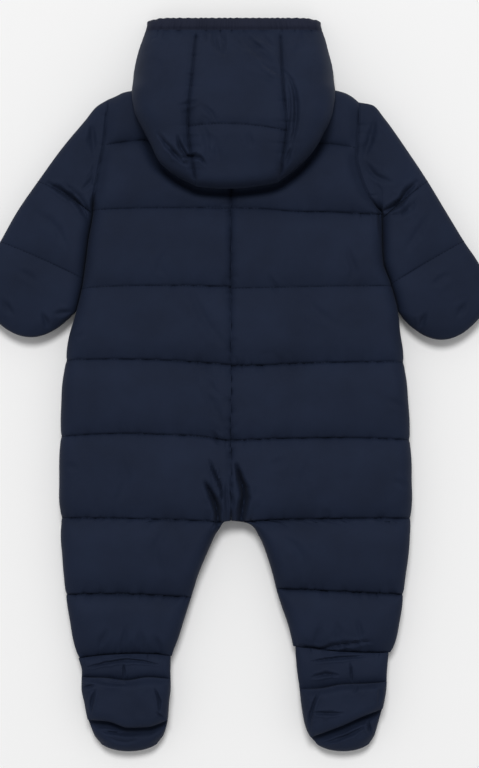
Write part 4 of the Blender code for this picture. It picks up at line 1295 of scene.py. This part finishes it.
    def front(self) -> Wall:
        """The lower half, flat on the floor and rolled up at its free edges.

        Returns:
            The lower half.
        """
        halved = tuple(n // 2 for n in self.body.steps)
        plan, _, run, rest = self.plan(60, self.front_steps, halved)
        lift, radius = self.body.lift, self.front_roll
        free = roll(plan.inner, radius) * roll(rest, radius)
        z = lift * (1 - free * roll(plan.outer + np.maximum(0, 12.0 - run), radius))
        grooves = 2.2 * np.abs(2 * plan.t - 1) ** 6 * (1 - z / lift) * (rest > 3.0)
        name = f"sleeve_{self.body.side.word}_front_cloth"
        z = np.minimum(z + grooves, lift)
        return Wall(name, plan.x, plan.y, z, MIDPLANE - SEAM_GAP / 2)


def hood_distance(x: Grid, y: Grid) -> Grid:
    """Distance in from the hood's outline, over its hem and both of its sides.

    Args:
        x: Plan of the cloth.
        y: Plan of the cloth.

    Returns:
        The distance to the nearest of many points along the outline.
    """
    # Both sides from above the mouth down to the hem's corners, closer together at the end.
    edge_y = np.concatenate([np.linspace(324.0, 190.0, 150), np.linspace(189.0, 181.8, 20)])
    left, right = (np.stack([HOOD_SIDES(side.word, edge_y), edge_y], 1) for side in Side)

    # The hem under the centre strip, and straight joins from it to both corners.
    u = np.linspace(0, 1, 60)
    seam_left = HOOD_SEAMS("left", np.array(HOOD_HEM[0]))
    seam_right = HOOD_SEAMS("right", np.array(HOOD_HEM[-1]))
    hem = np.stack([blend(seam_left, seam_right, u), across(*HOOD_HEM, u)], 1)
    step = np.linspace(0, 1, 20)[:, None]
    joins = [left[-1] * (1 - step) + hem[0] * step, right[-1] * (1 - step) + hem[-1] * step]
    nearest = np.full(x.shape, 1e9)
    for chunk in np.array_split(np.concatenate([left, right, hem, *joins]), 12):
        away = np.hypot(x[..., None] - chunk[:, 0], y[..., None] - chunk[:, 1])
        nearest = np.minimum(nearest, away.min(axis=-1))
    return nearest


@dataclass(frozen=True)
class Hood:
    """The hood: two sides and a centre strip over its mouth and the back, and its casing."""

    cloth: bpy.types.Material
    casing_cloth: bpy.types.Material
    stitching: Stitching
    steps: tuple[int, ...] = (89, 61)  # rows of the centre strip above and below its stitch line
    heights: Table = HOOD_HEIGHT
    rise: Table = HOOD_LIFT
    side_rows: Table = HOOD_ROWS
    creases: Creases = HOOD_CREASES
    mouth_y: float = 313.2
    rest: float = 37.4  # height of its underside over the back
    neck: float = 16.0  # how far that comes down behind the shoulders
    rim_height: float = 43.5  # height of its edge where it lies on the back
    foot: float = 2.6  # the same on the floor
    wall: float = 9.5
    turn: float = 8.0  # how far in from its foot the wall leaves the floor
    casing_width: float = 11.6
    casing_wall: float = 9.0
    casing_lip: float = 2.2  # thickness of the casing's free edge
    gathers: int = 27

    def build(self) -> list[bpy.types.Object]:
        """Build and dress both sides, the centre strip with its stitches, and the casing.

        Returns:
            The five objects.
        """
        centre = self.centre()
        return [
            *(lay(self.panel_beside(side), self.cloth) for side in Side),
            lay(centre, self.cloth),
            self.stitching.build("hood_stitches", centre.seams(self.steps)),
            lay(self.casing(), self.casing_cloth),
        ]

    def lift(self, y: Grid) -> Grid:
        """Height of the underside at the outline: on the floor, then up onto the back."""
        return (self.rim_height - self.foot) * self.rise("share_of_the_way_up", y)

    def height(self, y: Grid, distance: Grid) -> Grid:
        """Height of the outer face, from the crown down to a side or the hem."""
        share = roll(distance, self.heights("side_roll", y), 2.4)
        return blend(self.foot + self.lift(y), self.heights("crown", y), share)

    def underside(self, x: Grid, y: Grid, distance: Grid) -> Grid:
        """The inner face: a wall over the mouth, a rest on the back, and a neck down behind it.

        Args:
            x: Plan of the panel.
            y: Plan of the panel.
            distance: Distance in from the hood's outline.

        Returns:
            Its height.
        """
        lift = self.lift(y)
        wall = np.maximum(self.height(y, distance - self.turn) - self.wall, lift)
        wall = np.where(distance <= self.turn, lift, wall)
        shoulder = SHOULDER("left", np.abs(x - CENTRE_X) / 108.0)
        rest = self.rest - self.neck * (1 - roll(shoulder - y + 1.5, 12.0, 2.3))
        rest = blend(rest, lift, 1 - roll(distance, 12.0))
        return blend(rest, wall, smooth((y - shoulder - 1.5) / 4.0))

    def relief(self, x: Grid, y: Grid, distance: Grid) -> Grid:
        """Seams, gathers under the casing, slow swell and creases, fading out at the edges.

        Args:
            x: Plan of the panel.
            y: Plan of the panel.
            distance: Distance in from the hood's outline.

        Returns:
            The height that they add to the outer face.
        """
        z = np.zeros_like(x)
        for word, shift, seed in (("left", 50.0, 211), ("right", 100.0, 223)):
            away = np.abs(x - HOOD_SEAMS(word, y))
            dip = 2.6 * bell(away / 4.2) + 2.1 * bell(away / 1.2)
            below = smooth((self.mouth_y - y) / 9.0)
            z = z + below * (1.5 * puckers(y + shift, away, seed, 9.0, 5.0) - dip)
        from_mouth = np.maximum(self.mouth_y - y, 0)
        z = z - 1.6 * bell(from_mouth / 3.5)
        z = z + 1.7 * (0.7 + 0.5 * bell(x / 40.0)) * puckers(x, from_mouth, 231, 5.5, 8.0)
        z = z + 0.8 * Wander(241, 36.0)(x, y) + 0.25 * Wander(242, 15.0)(x, y)
        z = z + 0.05 * Wander(243, 5.0)(x, y)
        z = z + 0.9 * np.clip((215.0 - y) / 25.0, 0, 1) * puckers(x * 1.1, distance, 251, 11.0, 9.0)
        return (z + self.creases.height(x, y)) * roll(distance, 11.0)

    def panel(self, name: str, x: Grid, y: Grid, extra: Grid | float = 0.0) -> Wall:
        """A panel over its plan, its hem and a side panel's side brought down to the rim.

        Args:
            name: The panel's name.
            x: Plan of the panel.
            y: Plan of the panel.
            extra: Height added to the outer face of the centre strip.

        Returns:
            The panel.
        """
        distance = hood_distance(x, y)
        distance[-1, :] = 0
        if np.ndim(extra) == 0:
            distance[:, -1] = 0
        top = self.height(y, distance) + self.relief(x, y, distance) + extra
        under = np.minimum(self.underside(x, y, distance), top - 2.0)
        return Wall(name, x, y, top, np.maximum(under, 0.0))

    def panel_beside(self, side: Side) -> Wall:
        """A side panel: rows fan out from its seam to its edge and round to the hem.

        Args:
            side: Which of the two.

        Returns:
            The panel.
        """
        v = spread(150, 0.35) * (len(self.side_rows.rows) - 1)
        seam_y, edge_y = (self.side_rows(end, v)[:, None] for end in ("seam_y", "edge_y"))
        if side is Side.RIGHT:
            seam_y = np.maximum(seam_y, 171.0) + 4.0 * np.clip((212.0 - seam_y) / 38.0, 0, 1)
            edge_y = edge_y + 5.4 * np.clip((222.0 - edge_y) / 40.0, 0, 1)
        u = spread(72, 0.7)[None, :]
        seam_x = HOOD_SEAMS(side.word, seam_y) + side.value * SEAM_GAP / 2
        x = blend(seam_x, HOOD_SIDES(side.word, edge_y), u)
        return self.panel(f"hood_{side.word}_cloth", x, blend(seam_y, edge_y, u))

    def centre(self) -> Wall:
        """The centre strip, with its one stitch line.

        Returns:
            The strip.
        """
        u = spread(76, 0.6)[None, :]
        stitch, hem = across(*HOOD_LINE, u), across(*HOOD_HEM, u)
        upper, lower = (spread(n + 1, 0.6)[:, None] for n in self.steps)
        y = np.concatenate([blend(self.mouth_y, stitch, upper), blend(stitch, hem, lower[1:])])
        x = blend(HOOD_SEAMS("left", y) + SEAM_GAP / 2, HOOD_SEAMS("right", y) - SEAM_GAP / 2, u)
        away = np.abs(y - stitch)
        line = -1.5 * bell(away / 5.5) - 0.7 * bell(away / 1.1)
        line = line + 0.7 * puckers(x + np.where(y > stitch, 0, 90.0), away, 261, 8.0, 5.0)
        return self.panel("hood_centre_cloth", x, y, line)

    def casing(self) -> Wall:
        """The elasticated casing along the hood's edge, drawn up into uneven gathers.

        Returns:
            The casing.
        """
        s, t = np.linspace(0, 1, 520)[None, :], spread(30, 0.6)[:, None]
        uneven = s + 0.008 * np.sin(17 * s) + 0.005 * np.sin(41 * s)
        ripple = 0.5 * np.sin(2 * math.pi * self.gathers * uneven)
        ripple = ripple + 0.35 * Wander(271, 0.012)(s, 0 * s) - 0.2
        end_fade = np.clip(np.minimum(s, 1 - s) / 0.05, 0, 1)
        width = self.casing_width * (1 - 0.2 * np.abs(2 * s - 1) ** 14) - 0.35 * (1 - ripple) * t
        y = self.mouth_y + SEAM_GAP + (width - SEAM_GAP) * t
        left, right = (HOOD_SIDES(side.word, y) for side in Side)
        x = blend(left, right, s)
        ends = np.minimum(x - left, right - x)
        lip = roll((1 - t) * self.casing_width, 6.5)
        height = self.height(y, ends)
        inner = np.maximum(self.height(y, ends - self.turn) - self.casing_wall, 0.0)
        inner = np.where(ends <= self.turn, 0.0, inner)
        middle, half = 0.5 * (height + inner), self.casing_lip / 2
        top = middle + half + (height - middle - half) * lip
        top = top + 0.75 * end_fade * ripple * (0.35 + 0.65 * lip)
        top = top - 2.0 * bell((y - self.mouth_y) / 2.4) * roll(ends, 8.0)
        under = np.maximum(0.0, middle - half - (middle - half - inner) * lip)
        under = np.where(ends <= self.turn, 0.0, under)
        return Wall("hood_casing_cloth", x, y, np.maximum(top, under + 1.2), under)


@dataclass(frozen=True)
class Foot:
    """A foot: its gathered ankle band, its toe, and the sole flap that lies over it."""

    body: Body  # the leg that the band is sewn to
    lines: Table = FOOT_LINES
    creases: Creases = FOOT_CREASES
    side_roll: float = 11.0
    band_crown: float = 24.6
    rim: float = MIDPLANE - 2.0  # where the toe piece is turned in
    covered: float = 15.6  # crown of the toe under the flap
    bulge: float = 8.6  # how much higher it is in front of the flap
    bow: float = 7.8  # how far the toe's end bows out
    tip_roll: float = 14.0
    sole_low: float = 20.1
    sole_crown: float = 32.4
    sole_lip: float = 25.5  # height of the flap's free edge
    sole_under: float = 17.5  # height of its underside
    sole_roll: float = 12.0
    lip_roll: float = 9.0

    def build(self) -> list[bpy.types.Object]:
        """Build and dress the band, the toe and the sole flap.

        Returns:
            The three objects.
        """
        cloth = self.body.cloth
        return [
            lay(self.band(), cloth),
            lay(self.toe(), cloth),
            lay(self.sole(), cloth),
        ]

    def plan(self, first: Grid, last: Grid, rows: int, bow: float = 0.0) -> tuple[Grid, ...]:
        """Plan of a piece between two lines across the foot.

        Args:
            first: Height of the line nearest the leg, at every column.
            last: Height of the other line.
            rows: Number of rows.
            bow: How far the last line bows out at the toe.

        Returns:
            x, y, the place across, the place along, and the distances from the inner edge,
            from the outer edge and from the last line.
        """
        u, t = spread(len(first))[None, :], spread(rows)[:, None]
        last = last - bow * (4 * u[0] * (1 - u[0])) ** 0.7
        y = first[None, :] * (1 - t) + last[None, :] * t
        inner, outer = (FEET[self.body.side](edge, y) for edge in ("inner", "outer"))
        x = blend(inner, outer, u)
        return x, y, u + 0 * x, t + 0 * x, np.abs(x - inner), np.abs(outer - x), y - last[None, :]

    def line(self, name: str, u: Grid) -> Grid:
        """Height of a line across this foot."""
        return self.lines(f"{name}_{self.body.side.word}", u)

    def band(self) -> Wall:
        """The band under the leg's last stitch line, gathered by its elastic.

        Returns:
            The band.
        """
        side = self.body.side
        hem = self.body.plan(104, (2,) * 8, lambda y: np.full_like(y, SEAM_GAP / 2))
        rails = FEET[side].rows[0, 1:]
        u = spread(120)
        at = np.abs(rails[0] + (rails[1] - rails[0]) * u)
        first = np.interp(at, np.abs(hem.x[-1]), hem.y[-1]) - SEAM_GAP
        last = self.line("band", u) + SEAM_GAP
        x, y, _, t, inner, outer, _ = self.plan(first, last, 56)
        seed = 311 + 5 * side.index
        z = self.band_crown - 3.6 * np.abs(2 * t - 1) ** 3
        z = z + 1.1 * puckers(x, first[None, :] - y, seed, 5.0, 5.5)
        z = z + 0.6 * Wander(seed + 2, 13.0)(x, y)
        z = z + 0.6 * puckers(x + 40.0, y - last[None, :], seed + 3, 7.0, 4.0)
        z = z + self.creases.height(x, y)
        free = roll(inner, self.side_roll) * roll(outer, self.side_roll)
        z = blend(self.body.low, z, free)
        return Wall(f"ankle_band_{side.word}_cloth", x, y, z, self.body.lift * (1 - free), True)

    def toe(self) -> Wall:
        """The foot's front and toe, low under the sole flap and full in front of it.

        Returns:
            The toe.
        """
        side = self.body.side
        columns = spread(112)
        last = np.full(112, FEET[side].rows[-1, 0])
        first = self.line("band", columns)
        x, y, u, _, inner, outer, ahead = self.plan(first, last, 110, self.bow)
        edge = self.line("sole", u)
        beyond = 1 / (1 + np.exp(np.clip((y - edge + 6.0) / 1.3, -30, 30)))
        free = roll(inner, self.side_roll) * roll(outer, self.side_roll)
        free = free * roll(ahead, self.tip_roll)
        seed = 331 + side.index
        soft = 0.7 * Wander(seed, 14.0)(x, y) + 0.8 * puckers(x, ahead, seed + 4, 8.0, 6.0)
        soft = (soft + self.creases.height(x, y)) * beyond
        z = blend(self.rim, self.covered + self.bulge * beyond + soft, free)
        return Wall(f"foot_{side.word}_toe_cloth", x, y, z, (self.rim - RIM) * (1 - free))

    def sole(self) -> Wall:
        """The sole flap, drawn in by its side seams, its edge standing over the toe.

        Returns:
            The flap.
        """
        columns = spread(112)
        first, last = self.line("band", columns), self.line("sole", columns)
        x, y, _, t, inner, outer, ahead = self.plan(first, last, 92)
        seed = 351 + self.body.side.index
        soft = 1.0 * Wander(seed, 17.0)(x, y) + 0.3 * Wander(seed + 1, 7.0)(x, y)
        soft = soft + 0.9 * puckers(x, first[None, :] - y, seed + 2, 7.0, 5.0)
        soft = soft + self.creases.height(x, y)
        crown = self.sole_crown - 6.0 * bell(t / 0.1)
        inside = roll(inner, self.sole_roll) * roll(outer, self.sole_roll)
        behind_lip = roll(ahead, self.lip_roll)
        top = blend(self.sole_low, crown + soft, inside)
        top = blend(np.minimum(self.sole_lip, top), top, behind_lip)
        under = self.sole_under + 3.2 * (1 - behind_lip) * inside
        top = np.maximum(top, under + 1.6)
        return Wall(f"foot_{self.body.side.word}_sole_cloth", x, y, top, under)


@dataclass(frozen=True)
class Zip:
    """The closed zip between the fronts: tape, teeth, slider and pull, on the underside."""

    tape_cloth: bpy.types.Material
    nylon: bpy.types.Material
    top_y: float = 239.8
    end_y: float = ZIP_END
    half_width: float = ZIP_HALF
    pitch: float = 2.6  # of the teeth on one side
    slider_sides: int = 24
    sections: tuple[tuple[float, ...], ...] = (  # of the slider: y, half its width, low and high
        (233, 1.5, 0.75, 2.3),
        (231.5, 3.4, 0.35, 2.9),
        (224, 3.9, 0.2, 3.1),
        (218.5, 2.6, 0.2, 3),
        (216.5, 1.6, 0.3, 1.6),
        (204, 2.2, 0.3, 1.5),
        (202.5, 1.4, 0.45, 1.35),
    )

    def build(self) -> list[bpy.types.Object]:
        """Build and dress the tape in place of the zip's node, the teeth and the slider.

        Returns:
            The three objects.
        """
        return [
            dress(self.tape().build(self.tape_cloth), "front_zip"),
            dress(self.teeth(), ""),
            dress(self.slider(), ""),
        ]

    def tape(self) -> Wall:
        """The woven tape, a shallow channel that carries the teeth.

        Returns:
            The tape.
        """
        y = np.linspace(self.top_y, self.end_y, 240)[:, None]
        s = np.linspace(-1, 1, 16)[None, :]
        x = CENTRE_X + self.half_width * s + 0 * y
        z = 2.2 - 0.5 * np.abs(s) + 0.12 * np.sin(y * 1.9) * (1 - np.abs(s))
        return Wall("front_zip_tape", x, y + 0 * x, z, 4.0)

    def teeth(self) -> bpy.types.Object:
        """Moulded teeth in two meshed rows, each a small tapered block.

        Returns:
            One object that holds every tooth.
        """
        count = int((self.top_y - 34.0 - self.end_y) / self.pitch) * 2
        block = np.array([(x, y, z) for x in (-1, 1) for y in (-1, 1) for z in (-1, 1)], float)
        block = block * (1.35, 0.55, 0.55)
        block[:, 1] *= 1 - 0.35 * (block[:, 2] < 0)
        index = np.arange(count)
        y = self.end_y + 1.5 + index * self.pitch / 2
        x = CENTRE_X + 0.75 * (2 * (index % 2) - 1)
        centre = np.stack([x, y, np.full(count, 1.25)], axis=-1)
        points = (centre[:, None, :] + block[None]).reshape(-1, 3)
        corners = np.array(
            [(0, 1, 3, 2), (4, 6, 7, 5), (0, 4, 5, 1), (2, 3, 7, 6), (0, 2, 6, 4), (1, 5, 7, 3)]
        )
        faces = (corners[None] + 8 * index[:, None, None]).reshape(-1, 4).tolist()
        return mesh_object("front_zip_teeth", points, faces, self.nylon)

    def slider(self) -> bpy.types.Object:
        """The slider's body with its pull lying flat: a rounded loft of seven sections.

        Returns:
            The slider.
        """
        y, width, low, high = np.array(self.sections).T[:, :, None]
        angle = np.linspace(0, 2 * math.pi, self.slider_sides, endpoint=False)[None, :]
        over, up = (np.sign(f) * np.abs(f) ** 0.6 for f in (np.cos(angle), np.sin(angle)))
        x = CENTRE_X + width * over
        z = (low + high) / 2 + (high - low) / 2 * up
        points = np.stack([x, y + 0 * x, z], axis=-1).reshape(-1, 3)
        ring = np.arange(self.slider_sides)
        faces = tube_faces(len(self.sections), self.slider_sides).tolist()
        faces += [ring[::-1].tolist(), (len(points) - self.slider_sides + ring).tolist()]
        return mesh_object("front_zip_slider", points, faces, self.nylon)


# The set -------------------------------------------------------------------------------------


@dataclass(frozen=True)
class Studio:
    """A plain pale floor under soft light, seen straight from above."""

    frame_height: float = 768 * 0.88435  # rows of the picture, each this many millimetres
    frame_centre: tuple[float, float] = (4.0, 0.4)
    distance: float = 2600.0
    surface: float = 20.0  # height of the cloth that the distance is measured from
    paper: str = "#f6f6f6"
    paper_size: float = 12000.0  # half a side
    paper_depth: float = 0.3  # how far it lies below the suit
    ambient: float = 0.46
    key_place: tuple[float, float, float] = (-0.3, 4.1, 9.5)  # in metres
    key_size: float = 3.2
    key_power: float = 610.0

    def build(self) -> None:
        """Put the floor, the light and the camera in place."""
        self.floor()
        self.light()
        self.camera()

    def floor(self) -> None:
        """A pale sheet of paper under everything."""
        made, _ = principled("studio_paper", {
            "Base Color": linear(self.paper), "Roughness": 0.9, "Specular IOR Level": 0.1,
        })
        mesh = bpy.data.meshes.new("floor")
        corners = np.array([(-1, -1, -1), (1, -1, -1), (1, 1, -1), (-1, 1, -1)])
        corners = corners * (self.paper_size, self.paper_size, self.paper_depth) * MM
        mesh.from_pydata(corners.tolist(), [], [(0, 1, 2, 3)])
        mesh.materials.append(made)
        obj = bpy.data.objects.new("floor", mesh)
        bpy.context.scene.collection.objects.link(obj)

    def light(self) -> None:
        """Even light from all round, and one broad soft light high up beyond the hood."""
        scene = bpy.context.scene
        scene.world = bpy.data.worlds.new("studio")
        scene.world.use_nodes = True
        background = scene.world.node_tree.nodes["Background"]
        feed(background, {"Color": linear("#ffffff"), "Strength": self.ambient})
        lamp = bpy.data.lights.new("key", "AREA")
        lamp.shape = "DISK"
        lamp.size = self.key_size
        lamp.energy = self.key_power
        obj = bpy.data.objects.new("key", lamp)
        obj.location = self.key_place
        obj.rotation_mode = "QUATERNION"
        obj.rotation_quaternion = (-Vector(self.key_place)).to_track_quat("-Z", "Y")
        scene.collection.objects.link(obj)
        scene.view_settings.view_transform = "Standard"

    def camera(self) -> None:
        """A long lens straight above, its upright axis along the suit."""
        lens = bpy.data.cameras.new("camera")
        lens.sensor_width = 36.0
        lens.lens = lens.sensor_width * self.distance / self.frame_height
        lens.clip_end = 50.0
        obj = bpy.data.objects.new("camera", lens)
        obj.location = Vector((*self.frame_centre, self.distance + self.surface)) * MM
        bpy.context.scene.collection.objects.link(obj)
        bpy.context.scene.camera = obj


def main() -> None:
    """Build the suit piece by piece, then the set around it."""
    logging.basicConfig(level=logging.INFO, format="%(message)s")
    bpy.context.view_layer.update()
    shell = WovenPolyamide("woven_polyamide_shell", "#141c2e", "#192236").material()
    casing = WovenPolyamide("woven_polyamide_casing", "#181c2b", "#1e2233").material()
    tape = WovenPolyamide("woven_zip_tape", "#0f1420", "#151a28", thread=0.8).material()
    nylon = MouldedNylon("moulded_nylon", "#10131c").material()
    # The thread is darker than the cloth. That is partly the thread's own navy and partly painted
    # shade, standing in for the shade down in the stitch grooves.
    stitching = Stitching(SpunThread("spun_thread", "#101726").material())
    parts: list[Body | Sleeve | Foot | Hood | Zip] = []
    for side in Side:
        body = Body(side, shell, stitching)
        parts += [body, Sleeve(body), Foot(body)]
    parts += [Hood(shell, casing, stitching), Zip(tape, nylon)]
    for part in parts:
        for obj in part.build():
            LOG.info("%s: %d faces", obj.name, len(obj.data.polygons))
    Studio().build()


if __name__ == "__main__":
    main()
